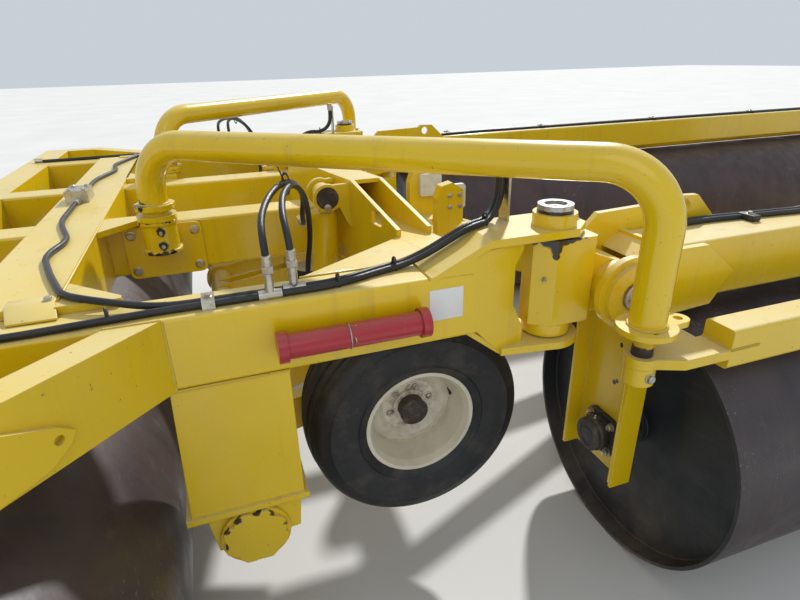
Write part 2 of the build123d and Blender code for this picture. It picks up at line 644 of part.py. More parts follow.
def wing_end_frame():
    """Plate at the wing's root with the bearing hanger below and the yoke ears above."""
    x1 = WING_ROOT_X
    x0 = x1 - END_PLATE
    y = -WING_DRUM_Y
    top = WING_TUBE_TOP
    plate = block(x0, x1, y - HANGER_W / 2, y + HANGER_W / 2, HANGER_LOW, top + 6)
    for side in (-1, 1):
        edge = y + side * (HANGER_W / 2 - HANGER_FLANGE)
        plate += block(x1 - HANGER_DEPTH, x1, edge, edge + side * HANGER_FLANGE, HANGER_LOW, HANGER_TOP)
    near = ear_outline([(LUG_X - 110, top - 4), (x0, top - 4), (FLOAT_X - 42, FLOAT_Z + EAR_R - 10)])
    far = ear_outline([(LUG_X + 148, top - 30), (LUG_X + 148, top + 4), (LUG_X + 56, LUG_Z + 38),
                       (LUG_X - 32, LUG_Z + 42), (LUG_X - 52, LUG_Z + 26), (FLOAT_X + 28, LUG_Z + 16),
                       (FLOAT_X - 74, FLOAT_Z + EAR_R - 26)])
    for outline, y0 in ((near, -EAR_OUT_Y - EAR_PLATE), (far, -EAR_IN_Y)):
        ear = plate_xz(outline, y0, y0 + EAR_PLATE)
        plate += ear + rod_y(EAR_R, y0, y0 + EAR_PLATE, FLOAT_X, FLOAT_Z)
    outside = -EAR_OUT_Y - EAR_PLATE
    plate += rod_y(EAR_BOSS_R, outside - EAR_BOSS, outside, FLOAT_X, FLOAT_Z)
    lid = [(x0 - 62, top - 46), (x0 - 50, top - 50), (x0 + 4, top - 16), (x0 + 4, top - 2)]
    plate += plate_xz(lid, -EAR_OUT_Y - 2, -EAR_IN_Y + 2)
    plate -= rod_y(FLOAT_PIN_R, outside - EAR_BOSS - 5, -EAR_IN_Y + EAR_PLATE + 5, FLOAT_X, FLOAT_Z)
    plate -= rod_y(LUG_BORE_R, -EAR_IN_Y - 5, -EAR_IN_Y + EAR_PLATE + 5, LUG_X, LUG_Z)
    plate -= rod_x(SHAFT_R + 8, x0 - 5, x1 + 5, y, DRUM_R)
    return one(plate)


def wing_outer_frame():
    """Plate and hanger at the wing's far end."""
    x0 = WING_END_X
    x1 = x0 + END_PLATE
    y = -WING_DRUM_Y
    plate = block(x0, x1, y - HANGER_W / 2, y + HANGER_W / 2, HANGER_LOW, WING_TUBE_TOP + 6)
    for side in (-1, 1):
        edge = y + side * (HANGER_W / 2 - HANGER_FLANGE)
        plate += block(x0, x0 + HANGER_DEPTH, edge, edge + side * HANGER_FLANGE, HANGER_LOW, HANGER_TOP)
    tie = block(x0, x1, -SIDE_TUBE_Y - SIDE_TUBE_W / 2, y - HANGER_W / 2, SIDE_TUBE_TOP - SIDE_TUBE_H,
                SIDE_TUBE_TOP)
    plate += tie
    return one(plate - rod_x(SHAFT_R + 8, x0 - 5, x1 + 5, y, DRUM_R))


def wing_bearings():
    root = Pos(WING_ROOT_X - END_PLATE, -WING_DRUM_Y, DRUM_R) * Rot(0, -90, 0) * bearing()
    end = Pos(WING_END_X + END_PLATE, -WING_DRUM_Y, DRUM_R) * Rot(0, 90, 0) * bearing()
    return [one(root), one(end)]


def float_pin():
    reach = EAR_PLATE + 8
    return one(rod_y(FLOAT_PIN_R, -EAR_OUT_Y - reach - EAR_BOSS, -EAR_IN_Y + reach, FLOAT_X, FLOAT_Z))


def side_tube():
    """Smaller tube along the drum's outer side, with the eye plate that takes the brace's pin."""
    bottom = SIDE_TUBE_TOP - SIDE_TUBE_H
    y0 = -SIDE_TUBE_Y - SIDE_TUBE_W / 2
    y1 = -SIDE_TUBE_Y + SIDE_TUBE_W / 2
    tube = tube_run(SIDE_TUBE_X, WING_END_X, -SIDE_TUBE_Y, SIDE_TUBE_W, bottom, SIDE_TUBE_TOP)
    x, y = BRACE_PIN
    z1 = EYE_PLATE_TOP
    z0 = z1 - EYE_PLATE
    inner = -WING_DRUM_Y - HANGER_W / 2
    eye = rod_z(EYE_R, z0, z1, x, y)
    eye += plate_xy([(x + 12, y - EYE_R + 2), (x + 90, y0), (SIDE_TUBE_X + 110, y0), (SIDE_TUBE_X + 110, y1),
                     (WING_ROOT_X, y1), (WING_ROOT_X, inner), (WING_ROOT_X - HANGER_DEPTH, inner),
                     (WING_ROOT_X - HANGER_DEPTH - 40, y1 + 20), (x + 12, y + EYE_R - 2)], z0, z1)
    eye += rod_z(EYE_R - 2, z0 - 56, z0, x, y)
    eye -= rod_z(BRACE_PIN_R, z0 - 80, z1 + 20, x, y)
    return one(tube + eye)


def wing_struts():
    """Short posts between the main tube and the side tube, spaced along the wing."""
    posts = []
    y0 = -SIDE_TUBE_Y + SIDE_TUBE_W / 2
    y1 = -WING_TUBE_Y - WING_TUBE_W / 2
    pitch = WING_DRUM_LENGTH / (STRUT_COUNT + 1)
    z0 = WING_TUBE_BOTTOM + 4
    for i in range(STRUT_COUNT):
        x = WING_DRUM_X + pitch * (i + 1)
        posts.append(one(block(x - 38, x + 38, y0, y1, z0, SIDE_TUBE_TOP - 2)))
    return posts


def brace_pin():
    x, y = BRACE_PIN
    z0 = EYE_PLATE_TOP - EYE_PLATE - 50
    return one(rod_z(BRACE_PIN_R, z0, BRACE_FLANGE_Z - 17, x, y))


# Transport brace, right side
def brace_pipe():
    """Arched pipe: down into its sleeve at the beam, down to a flange over the wing's pin."""
    fx, fy = BRACE_FOOT
    px, py = BRACE_PIN
    path = FilletPolyline([(fx, fy, SLEEVE_BOTTOM + 2), (fx, fy, BRACE_TOP), (px, py, BRACE_TOP),
                           (px, py, BRACE_FLANGE_Z + BRACE_FLANGE)], radius=BRACE_BEND)
    section = Plane(origin=(fx, fy, SLEEVE_BOTTOM + 2), z_dir=(0, 0, 1)) * Circle(BRACE_R)
    pipe = sweep(section, path=path)
    for z in (SLEEVE_TOP + 1, SLEEVE_TOP + 40):
        pipe += rod_z(SLEEVE_R + 8, z, z + 20, fx, fy)
    flange = rod_z(BRACE_FLANGE_R, BRACE_FLANGE_Z, BRACE_FLANGE_Z + BRACE_FLANGE, px, py)
    flange += plate_xy([(px, py - 40), (px + 112, py - 30), (px + 112, py + 34), (px, py + 70)],
                       BRACE_FLANGE_Z, BRACE_FLANGE_Z + BRACE_FLANGE)
    flange += rod_z(32, BRACE_FLANGE_Z, BRACE_FLANGE_Z + BRACE_FLANGE, px + 112, py + 2)
    flange -= rod_z(13, BRACE_FLANGE_Z - 5, BRACE_FLANGE_Z + BRACE_FLANGE + 5, px + 112, py + 2)
    return one(pipe + flange)


# Cross shaft, wheels and lift cylinders
def cross_shaft():
    """Shaft across the machine with two wheel arms and two lift levers."""
    end = RAIL_Y + TUBE_W / 2 - 4
    body = rod_y(AXLE_R, -end, end, AXLE_X, AXLE_Z)
    for side in (-1, 1):
        y = side * ARM_Y
        arm = plate_xz([(AXLE_X - 30, AXLE_Z - 75), (WHEEL_X, WHEEL_Z - 60), (WHEEL_X, WHEEL_Z + 60),
                        (AXLE_X - 30, AXLE_Z + 80)], y - 30, y + 30)
        arm += rod_y(AXLE_R + 22, y - 30, y + 30, AXLE_X, AXLE_Z)
        arm += rod_y(60, y - 30, y + 30, WHEEL_X, WHEEL_Z)
        body += arm
        spindle_end = side * (WHEEL_Y + 56)
        body += rod_y(SPINDLE_R, y, spindle_end, WHEEL_X, WHEEL_Z)
        lx, lz = LIFT_LOW
        for y0 in (side * LEVER_Y - 60, side * LEVER_Y + 40):
            lever = plate_xz([(AXLE_X - 20, AXLE_Z - 70), (lx, lz - 38), (lx, lz + 38), (AXLE_X - 20, AXLE_Z + 74)],
                             y0, y0 + 20)
            lever += rod_y(38, y0, y0 + 20, lx, lz)
            body += lever
            body += rod_y(LIFT_PIN_R + 8, y0 - 6 if y0 < side * LEVER_Y else y0, y0 + 20 if y0 < side * LEVER_Y else y0 + 26, lx, lz)
    return one(body)


def wheel_rim():
    """Dished rim with its hub, on the wheel's axis; turned about y."""
    half = RIM_W / 2
    seat = RIM_R - 14
    well = RIM_R - 32
    inside = seat - RIM_WALL
    # (radius, y) round the section: tyre side from the outboard lip, then back round the disc
    section = [(RIM_R - 14, -half), (RIM_R, -half), (seat, -half + 20), (well, -34), (well, 34),
               (seat, half - 20), (RIM_R, half), (RIM_R - 14, half), (inside, half - 24),
               (well - RIM_WALL, 34), (well - RIM_WALL, 8), (118, -6), (104, 12), (HUB_R, 12),
               (HUB_R, 0), (104, 0), (126, -20), (well - RIM_WALL, -6), (well - RIM_WALL, -34),
               (inside, -half + 24)]
    face = make_face(Polyline([(r, y, 0) for r, y in section], close=True))
    rim = revolve(face, Axis.Y)
    rim += rod_y(HUB_R + 10, -14, 52, 0, 0) + rod_y(HUB_R - 10, -62, 60, 0, 0)
    return rim - rod_y(SPINDLE_R + RUN_FIT, -58, 70, 0, 0)


def wheel():
    return one(Pos(WHEEL_X, -WHEEL_Y, WHEEL_Z) * wheel_rim())


def tyre():
    """Ribbed implement tyre, turned about y."""
    half = TYRE_W / 2
    bead = RIM_W / 2 - 20
    right = [(RIM_R - 14, -bead), (RIM_R + 98, -half), (TYRE_R - 24, -half + 22), (TYRE_R, -half + 78)]
    left = [(r, -y) for r, y in reversed(right)]
    face = make_face(Polyline([(r, y, 0) for r, y in right + left], close=True))
    return one(Pos(WHEEL_X, -WHEEL_Y, WHEEL_Z) * revolve(face, Axis.Y))


def lift_axis():
    (x0, z0), (x1, z1) = LIFT_TOP, LIFT_LOW
    length = math.hypot(x1 - x0, z1 - z0)
    return length, math.degrees(math.atan2(x1 - x0, z0 - z1))


def on_lift(part):
    """Puts a part drawn down from the origin along -z onto the lift cylinder's line."""
    _, lean = lift_axis()
    return Pos(LIFT_TOP[0], -LEVER_Y, LIFT_TOP[1]) * Rot(0, -lean, 0) * part


def lift_barrel():
    length, _ = lift_axis()
    low = 110 - length
    half = LIFT_LUG_Y - MOVE_GAP
    body = rod_z(BARREL_R, low, -65, 0, 0) + Pos(0, 0, -38) * Box(60, 2 * half, 76)
    body += rod_y(40, -half, half, 0, 0) + rod_z(BARREL_R + 4, low, low + 40, 0, 0)
    for drop in PORT_DROPS:
        body += rod_x(PORT_R, -BARREL_R - PORT_REACH, 0, 0, -drop)
        body += rod_y(PORT_R, -PORT_REACH, 0, -BARREL_R - PORT_REACH, -drop)
    body -= rod_y(LIFT_PIN_R + RUN_FIT, -half - 5, half + 5, 0, 0)
    body -= rod_z(ROD_R + RUN_FIT, low - 5, -160, 0, 0)
    return one(on_lift(body))


def lift_rod():
    length, _ = lift_axis()
    body = rod_z(ROD_R, 30 - length, -180, 0, 0)
    body += Pos(0, 0, -length) * (rod_y(36, -34, 34, 0, 0) + rod_y(LIFT_PIN_R, -38, 38, 0, 0))
    return one(on_lift(body))


# Tongue
def tongue_lugs():
    """Two pairs of hanging lugs on the cross member, each with the pin that holds the tongue's root."""
    pairs = []
    for side in (-1, 1):
        middle = side * TONGUE_ROOT_Y
        pair = rod_y(TONGUE_PIN_R, middle - 78, middle + 78, TONGUE_PIVOT_X, TONGUE_PIVOT_Z)
        for y in (middle - 66, middle + 46):
            back = swept_back(abs(y)) + SWEPT_DEPTH - 60
            side_view = [(back, FRAME_BOTTOM), (TONGUE_PIVOT_X - 48, TONGUE_PIVOT_Z),
                         (TONGUE_PIVOT_X + 48, TONGUE_PIVOT_Z), (back + 190, FRAME_BOTTOM)]
            pair += plate_xz(side_view, y, y + 20) + rod_y(48, y, y + 20, TONGUE_PIVOT_X, TONGUE_PIVOT_Z)
        pairs.append(one(pair))
    return pairs


def tongue():
    """Two side members that close in and drop to one long beam."""
    z_top = TONGUE_PIVOT_Z + 55
    half_h = TONGUE_H / 2
    profile = [(TONGUE_PIVOT_X, TONGUE_PIVOT_Z - 50), (TONGUE_PIVOT_X + 560, TONGUE_PIVOT_Z - 40),
               (TONGUE_FLAT_X, TONGUE_Z - half_h), (TONGUE_JOIN_X, TONGUE_Z - half_h),
               (TONGUE_JOIN_X, TONGUE_Z + half_h), (TONGUE_FLAT_X, TONGUE_Z + half_h),
               (TONGUE_PIVOT_X + 600, z_top), (TONGUE_PIVOT_X, z_top)]
    inner = TONGUE_W / 2
    body = None
    for side in (-1, 1):
        root = side * TONGUE_ROOT_Y
        plan = [(TONGUE_PIVOT_X - 60, root - 40), (TONGUE_PIVOT_X + 560, root - 40 * 1.0),
                (TONGUE_JOIN_X, side * inner - 40), (TONGUE_JOIN_X, side * inner + 40),
                (TONGUE_PIVOT_X + 560, root + 40), (TONGUE_PIVOT_X - 60, root + 40)]
        member = plate_xz(profile, root - 400, root + 400) & plate_xy(plan, 300, 1300)
        member += rod_y(50, root - 40, root + 40, TONGUE_PIVOT_X, TONGUE_PIVOT_Z)
        member -= rod_y(TONGUE_PIN_R, root - 60, root + 60, TONGUE_PIVOT_X, TONGUE_PIVOT_Z)
        body = member if body is None else body + member
    body += tube_run(TONGUE_FLAT_X - 300, HITCH_X - 160, 0, TONGUE_W, TONGUE_Z - half_h, TONGUE_Z + half_h)
    body += block(POST_BACK - 10, POST_FRONT + 10, -TONGUE_ROOT_Y, TONGUE_ROOT_Y, z_top - 90, z_top)
    post = [(POST_BACK, z_top - 5), (POST_FRONT, z_top - 5), (POST_FRONT - 2, POST_TOP - 40),
            (POST_FRONT - 62, POST_TOP), (POST_BACK + 22, POST_TOP - 14), (POST_BACK, POST_TOP - 76)]
    for side in (-1, 1):
        body += plate_xz(post, side * POST_Y - 30, side * POST_Y + 30)
    body += rod_y(44, -TONGUE_W / 2 - 0.5, JACK_Y + JACK_R + 1 + SWIVEL_GAP, JACK_X, TONGUE_Z)
    body += rod_y(44, -TONGUE_W / 2 + 5, -TONGUE_W / 2 - 1, JACK_X, TONGUE_Z)
    return one(body)


def wear_pads():
    """Plastic pads on the inner faces of the tongue's guide posts."""
    pads = []
    for side in (-1, 1):
        y = side * (POST_Y - 30)
        pad = block(POST_FRONT - 90, POST_FRONT + 40, y, y - side * 28, POST_TOP - 150, POST_TOP - 25)
        pads.append(one(chamfer(pad.edges().filter_by(Axis.Y), 10)))
    return pads


def hitch():
    """Two-plate clevis at the tongue's tip for a drawbar pin."""
    body = block(HITCH_X - 160, HITCH_X - 120, -TONGUE_W / 2, TONGUE_W / 2, TONGUE_Z - TONGUE_H / 2,
                 TONGUE_Z + TONGUE_H / 2)
    for side in (-1, 1):
        z0 = TONGUE_Z + side * HITCH_GAP / 2
        z1 = z0 + side * HITCH_PLATE
        low, high = min(z0, z1), max(z0, z1)
        body += round_end(HITCH_X, 0, HITCH_EYE_R, HITCH_X - 122, 130, low, high)
    return one(body - rod_z(HITCH_PIN_R, 300, 900, HITCH_X, 0))


def jack():
    """Parking jack: upright tube, foot and crank head, on its swivel at the tongue's side."""
    body = rod_z(JACK_R, 150, TONGUE_Z + 330, JACK_X, JACK_Y)
    body += rod_z(JACK_R - 7, 10, 160, JACK_X, JACK_Y)
    body += block(JACK_X - JACK_FOOT / 2, JACK_X + JACK_FOOT / 2, JACK_Y - JACK_FOOT / 2, JACK_Y + 56, 0, 12)
    body += rod_z(JACK_R + 9, TONGUE_Z + 300, TONGUE_Z + 340, JACK_X, JACK_Y)
    body += rod_y(44, JACK_Y + 20, JACK_Y + JACK_R + 1, JACK_X, TONGUE_Z)
    return one(body)


# Hoses and their fittings
def spread(points, shift):
    """Right side route of one hose of a pair, from (x, distance from the middle, z)."""
    return [(x, -y - shift, z) for x, y, z in points]


def frame_hoses():
    """Both rail hoses of the right side; the inner one comes from the manifold."""
    outer = hose(spread(RAIL_HOSE, HOSE_PITCH / 2), HOSE_BEND)
    inner = hose(spread(BEAM_HOSE, 0) + spread(RAIL_HOSE[2:], -HOSE_PITCH / 2), HOSE_BEND)
    return [outer, inner]


def wing_hoses():
    z = WING_TUBE_TOP + HOSE_R + HOSE_REST
    route = [(x, y, z) for x, y in WING_HOSE]
    return [hose(spread(route, shift), HOSE_BEND) for shift in (-HOSE_PITCH / 2, HOSE_PITCH / 2)]


def wing_couplers():
    """Closed couplers on both ends of the wing's hoses."""
    z = WING_TUBE_TOP + HOSE_R + HOSE_REST
    ends = []
    for (x, y), way in ((WING_HOSE[0], -1), (WING_HOSE[-1], 1)):
        pair = block(x + way * 14, x + way * 30, -y - 22, -y + 22, WING_TUBE_TOP, z)
        for shift in (-HOSE_PITCH / 2, HOSE_PITCH / 2):
            pair += rod_x(COUPLER_R - 1, x, x + way * COUPLER, -y - shift, z + COUPLER_R - HOSE_R - 1)
        ends.append(one(pair))
    return ends


def tee(x, y):
    """Sleeve on a rail hose with the upright stem of a lift hose."""
    body = rod_x(TEE_R, x - TEE_HALF, x + TEE_HALF, y, HOSE_Z) + rod_z(12, HOSE_Z, TEE_TOP, x, y)
    body -= block(x - 50, x + 50, y - 20, y + 20, HOSE_Z - 40, FRAME_TOP)
    return one(body - rod_x(HOSE_R + RUN_FIT, x - 40, x + 40, y, HOSE_Z))


def hose_fittings():
    """Tees, clamp and couplers of the right side's hoses."""
    fittings = [tee(TEE_XS[0], -TEE_Y - HOSE_PITCH / 2), tee(TEE_XS[1], -TEE_Y + HOSE_PITCH / 2)]
    clamp = block(CLAMP_X - 16, CLAMP_X + 16, -TEE_Y - 30, -TEE_Y + 30, FRAME_TOP, HOSE_Z + 16)
    for shift in (-HOSE_PITCH / 2, HOSE_PITCH / 2):
        clamp -= rod_x(HOSE_R + RUN_FIT, CLAMP_X - 20, CLAMP_X + 20, -TEE_Y - shift, HOSE_Z)
    fittings.append(one(clamp))
    x, y, z = RAIL_HOSE[0]
    fittings.append(one(rod_x(COUPLER_R - 1, x - COUPLER, x, -y - HOSE_PITCH / 2, HOSE_Z + COUPLER_R - HOSE_R)))
    x, y, z = RAIL_HOSE[-1]
    pair = block(x + HOSE_R + 2, x + HOSE_R + 10, -y - 34, -y + 20, FORK_TOP, z + 30)
    for shift in (-HOSE_PITCH / 2, HOSE_PITCH / 2):
        pair += rod_z(COUPLER_R, z, z + COUPLER, x, -y - shift)
    fittings.append(one(pair))
    return fittings


def manifold():
    """Block on the wide beam that the two inner hoses leave to both sides."""
    body = block(MANIFOLD_X - 45, MANIFOLD_X + 45, -MANIFOLD_Y + 24, MANIFOLD_Y - 24, OVER_BEAM_TOP, OVER_BEAM_TOP + 52)
    return one(body + rod_y(COUPLER_R - 4.5, -MANIFOLD_Y, MANIFOLD_Y, MANIFOLD_X, BEAM_HOSE_Z))


def port(i):
    """Face of a port on the lift cylinder, as (x, distance from the middle, z)."""
    _, lean = lift_axis()
    a = math.radians(lean)
    dx = -BARREL_R - PORT_REACH
    dz = -PORT_DROPS[i]
    x = LIFT_TOP[0] + dx * math.cos(a) - dz * math.sin(a)
    z = LIFT_TOP[1] + dx * math.sin(a) + dz * math.cos(a)
    return x, LEVER_Y + PORT_REACH + SWIVEL_GAP, z


def lift_hose(i):
    """Free hose from a tee on the rail, over and down to a port of the lift cylinder."""
    tee_y = TEE_Y + (HOSE_PITCH / 2 if i == 0 else -HOSE_PITCH / 2)
    x, y, z = port(i)
    stem = [(TEE_XS[i], tee_y, TEE_TOP), (TEE_XS[i], tee_y, TEE_TOP + TEE_RUN)]
    end = [(x, y + PORT_RUNS[i], z), (x, y, z)]
    return hose(spread(stem + (UPPER_LOOP, LOWER_LOOP)[i] + end, 0))


def place(solids):
    return [Pos(-X_MID, 0, 0) * solid for solid in solids]


def write(name, solids):
    placed = place(solids)
    shape = placed[0] if len(placed) == 1 else Compound(children=placed)
    export_step(shape, f"parts/{name}.step")


def both(solid):
    return [solid, one(mirrored(solid))]


def main():
    os.makedirs("parts", exist_ok=True)
    frame_hoses_both = [solid for tube in frame_hoses() for solid in both(tube)]
    fittings_both = [solid for fitting in hose_fittings() for solid in both(fitting)]
    single = {
        "swept_cross_member": [swept_member()],
        "over_drum_beam": [over_beam()],
        "rear_cross_tube": [rear_tube()],
        "side_rails": both(side_rail()),
        "rail_gussets": both(rail_gusset()) + [g for plate in beam_gussets() for g in both(plate)],
        "inner_beams": both(inner_beam()),
        "drum_end_arms": both(end_arm()),
        "drum_end_hangers": both(drum_hanger()),
        "centre_drum_bearings": both(one(centre_bearing())),
        "axle_legs": both(axle_leg()),
        "axle_leg_caps": both(leg_cap()),
        "brace_sleeves": both(brace_sleeve()),
        "cylinder_stops": both(cylinder_stop()),
        "lift_cylinder_lugs": both(lift_lugs()),
        "fold_pins": both(fold_pin()),
        "tongue_lugs": tongue_lugs(),
        "centre_drum": [one(centre_drum())],
        "cross_shaft": [cross_shaft()],
        "tongue_beam": [tongue()],
        "wear_pads": wear_pads(),
        "hitch_clevis": [hitch()],
        "parking_jack": [jack()],
        "frame_hoses": frame_hoses_both,
        "hose_fittings": fittings_both + [manifold()],
    }
    sided = {
        "hinge_block": [hinge_block()],
        "wing_tube": [wing_tube()],
        "wing_root_frame": [wing_end_frame()],
        "wing_end_frame": [wing_outer_frame()],
        "wing_bearings": wing_bearings(),
        "wing_pins": [float_pin(), brace_pin()],
        "wing_side_tube": [side_tube()],
        "wing_struts": wing_struts(),
        "wing_hoses": wing_hoses(),
        "wing_couplers": wing_couplers(),
        "wing_drum": [one(wing_drum())],
        "brace_pipe": [brace_pipe()],
        "wheel_rim": [wheel()],
        "wheel_tyre": [tyre()],
        "lift_barrel": [lift_barrel()],
        "lift_rod": [lift_rod()],
        "lift_hose_upper": [lift_hose(0)],
        "lift_hose_lower": [lift_hose(1)],
    }
    for name, solids in single.items():
        write(name, solids)
    for name, solids in sided.items():
        write(f"{name}_right", solids)
        write(f"{name}_left", [one(mirrored(solid)) for solid in solids])


main()
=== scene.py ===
"""Looks of the folded land roller: paint, rust, dust, hoses, bolts, treads and weld beads."""
import json
import math

import bpy
from mathutils import Euler, Matrix, Vector


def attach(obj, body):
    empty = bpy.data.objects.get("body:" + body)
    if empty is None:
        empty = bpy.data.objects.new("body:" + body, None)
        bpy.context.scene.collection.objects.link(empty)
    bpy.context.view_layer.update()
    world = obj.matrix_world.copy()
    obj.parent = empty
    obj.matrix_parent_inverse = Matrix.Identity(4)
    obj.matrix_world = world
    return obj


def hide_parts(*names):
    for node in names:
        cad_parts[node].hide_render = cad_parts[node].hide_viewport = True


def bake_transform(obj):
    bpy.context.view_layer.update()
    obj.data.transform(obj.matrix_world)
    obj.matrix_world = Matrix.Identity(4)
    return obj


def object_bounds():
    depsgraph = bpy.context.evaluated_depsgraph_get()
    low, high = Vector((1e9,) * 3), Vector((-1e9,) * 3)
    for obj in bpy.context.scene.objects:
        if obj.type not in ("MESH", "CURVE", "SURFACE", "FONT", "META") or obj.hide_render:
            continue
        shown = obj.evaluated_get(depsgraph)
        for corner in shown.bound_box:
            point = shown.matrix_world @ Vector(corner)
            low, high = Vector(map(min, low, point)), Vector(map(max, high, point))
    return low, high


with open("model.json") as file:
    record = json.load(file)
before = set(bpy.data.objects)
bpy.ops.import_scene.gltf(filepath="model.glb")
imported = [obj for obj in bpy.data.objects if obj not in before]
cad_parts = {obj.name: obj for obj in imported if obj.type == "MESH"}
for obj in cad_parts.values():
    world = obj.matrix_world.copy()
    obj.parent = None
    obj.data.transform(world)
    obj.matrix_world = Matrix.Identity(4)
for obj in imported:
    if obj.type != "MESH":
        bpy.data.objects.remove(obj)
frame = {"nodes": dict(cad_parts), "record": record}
cad_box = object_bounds()
nodes = frame["nodes"]
SIDES = {"right": -1, "left": 1}

# Sizes repeated from the part, in millimetres from the centre drum's axle on the ground
DRUM_R = 533.4
RAIL_FACE = 1400.0
RAIL_INNER = 1248.0
FRAME_TOP = 1313.0
FRAME_BOTTOM = 1110.0
BEAM_FACES = (449.0, 297.0)
WING_TOP = 1320.0
WING_BOTTOM = 1117.0
WING_ROOT = 2080.0
WING_END = 7370.0
WING_TUBE = (1250.5, 1453.5)
WING_AXIS = 1326.0
WHEEL = (1339.0, 1095.0, 688.0)
FOLD = (1743.0, 1324.0)
FLOAT = (1940.0, 1194.0)
FLOAT_END = 1506.5
BRACE_FOOT = (556.0, 545.0)
BRACE_PIN = (1859.0, 1640.0)
LEG_CAP = (731.0, 1404.0, 565.0)
LIFT_PIN = (1178.0, 656.0, 1388.0)
STORED_STOP = (1049.0, 1442.0, 1205.0)
JACK_HEAD = (7350.0, -140.0, 900.0)
HOSE_R = 9.5
ROOT_BEARING_X = 2042.0
END_BEARING_X = 7408.0
CENTRE_BEARING_Y = 1921.0
WING_DRUM_ENDS = (2204.0, 7246.0)
WING_DRUM_START = 2134.0
WING_DRUM_LENGTH = 5182.0
CENTRE_DRUM_END = 1759.0
DRUM_SHELL_BEAD_R = 518.0
DRUM_BOSS_R = 76.0
AXLE_AT = cad_box[0][0] + DRUM_R / 1000


def at(x, y, z):
    """A point given in millimetres from the centre drum's axle, in the frame's metres."""
    return Vector((AXLE_AT + x / 1000, y / 1000, z / 1000))


# Camera: eye in mm, heading to the right of straight across, tilt and roll in degrees, lens in mm
EYE = at(767, -2700, 1880)
HEADING, TILT, ROLL = 18.79, -24.15, -1.4
LENS = 24.39


def camera():
    """Camera at the photograph's place and angle."""
    data = bpy.data.cameras.new("photo_camera")
    data.lens = LENS
    data.sensor_width = 36.0
    data.clip_end = 200.0
    cam = bpy.data.objects.new("photo_camera", data)
    bpy.context.scene.collection.objects.link(cam)
    turn = (Matrix.Rotation(math.radians(-HEADING), 4, "Z")
            @ Matrix.Rotation(math.radians(90 + TILT), 4, "X")
            @ Matrix.Rotation(math.radians(ROLL), 4, "Z"))
    cam.matrix_world = Matrix.Translation(EYE) @ turn
    bpy.context.scene.camera = cam


# Painting: small steps that add nodes to a material and mostly give back a socket
def step(tree, kind, inputs=None, **settings):
    """A new node with its settings, and with each input linked or given a value."""
    made = tree.nodes.new(kind)
    for key, value in settings.items():
        setattr(made, key, value)
    for key, value in (inputs or {}).items():
        if isinstance(value, bpy.types.NodeSocket):
            tree.links.new(value, made.inputs[key])
        else:
            made.inputs[key].default_value = value
    return made


def place(tree, scale=(1, 1, 1), shift=(0, 0, 0)):
    """The surface's own place in metres, stretched and moved."""
    spot = step(tree, "ShaderNodeTexCoord").outputs["Object"]
    moved = step(tree, "ShaderNodeMapping", {"Vector": spot, "Scale": scale, "Location": shift})
    return moved.outputs["Vector"]


def axes(tree, vector):
    """The X, Y and Z of a place or direction."""
    return step(tree, "ShaderNodeSeparateXYZ", {0: vector}).outputs


def off_axis(tree, axis, middle):
    """Distance in metres from a line along an axis through a middle point."""
    across = tuple(0 if name == axis else 1 for name in "XYZ")
    arm = place(tree, across, tuple(-m * a for m, a in zip(middle, across)))
    return step(tree, "ShaderNodeVectorMath", {0: arm}, operation="LENGTH").outputs["Value"]


def cloud(tree, where, scale, detail=4.0, rough=0.55):
    """Soft noise from 0 to 1."""
    inputs = {"Vector": where, "Scale": scale, "Detail": detail, "Roughness": rough}
    return step(tree, "ShaderNodeTexNoise", inputs).outputs["Fac"]


def between(tree, value, low, high, to_low=0.0, to_high=1.0):
    """The value from low to high spread over a new range and held at its ends."""
    inputs = {"Value": value, "From Min": low, "From Max": high, "To Min": to_low, "To Max": to_high}
    return step(tree, "ShaderNodeMapRange", inputs, clamp=True).outputs["Result"]


def count(tree, sort, a, b=0.0):
    """Result of one kind of sum, such as ADD, on two numbers."""
    return step(tree, "ShaderNodeMath", {0: a, 1: b}, operation=sort).outputs[0]


def times(tree, a, b):
    """Product of two numbers."""
    return count(tree, "MULTIPLY", a, b)


def over(tree, share, under, coat):
    """A coat laid over a colour by a share from 0 to 1."""
    under = under if isinstance(under, bpy.types.NodeSocket) else (*under, 1)
    coat = coat if isinstance(coat, bpy.types.NodeSocket) else (*coat, 1)
    return step(tree, "ShaderNodeMix", {0: share, 6: under, 7: coat}, data_type="RGBA").outputs[2]


def facing(tree):
    """The surface's direction."""
    return step(tree, "ShaderNodeNewGeometry").outputs["Normal"]


def rounded(tree, radius):
    """Normal that rolls over sharp edges, and how near an edge is, from 0 to 1."""
    soft = step(tree, "ShaderNodeBevel", {"Radius": radius}, samples=6).outputs["Normal"]
    same = step(tree, "ShaderNodeVectorMath", {0: soft, 1: facing(tree)}, operation="DOT_PRODUCT")
    return soft, between(tree, same.outputs["Value"], 0.995, 0.80)


def relief(tree, height, depth, normal=None):
    """Bumps of a depth in metres."""
    inputs = {"Height": height, "Distance": depth, "Strength": 1.0}
    if normal is not None:
        inputs["Normal"] = normal
    return step(tree, "ShaderNodeBump", inputs).outputs["Normal"]


def finish(name, rough, metal=0.0, coat=0.0):
    """A new material with its nodes and its shader."""
    mat = bpy.data.materials.new(name)
    mat.use_nodes = True
    shader = mat.node_tree.nodes["Principled BSDF"]
    shader.inputs["Roughness"].default_value = rough
    shader.inputs["Metallic"].default_value = metal
    shader.inputs["Coat Weight"].default_value = coat
    shader.inputs["Coat Roughness"].default_value = 0.12
    return mat, mat.node_tree, shader


def wear(mat, tree, shader, colour, rough, normal):
    """Joins the painted colour, roughness and relief to the shader."""
    tree.links.new(colour, shader.inputs["Base Color"])
    tree.links.new(rough, shader.inputs["Roughness"])
    tree.links.new(normal, shader.inputs["Normal"])
    return mat


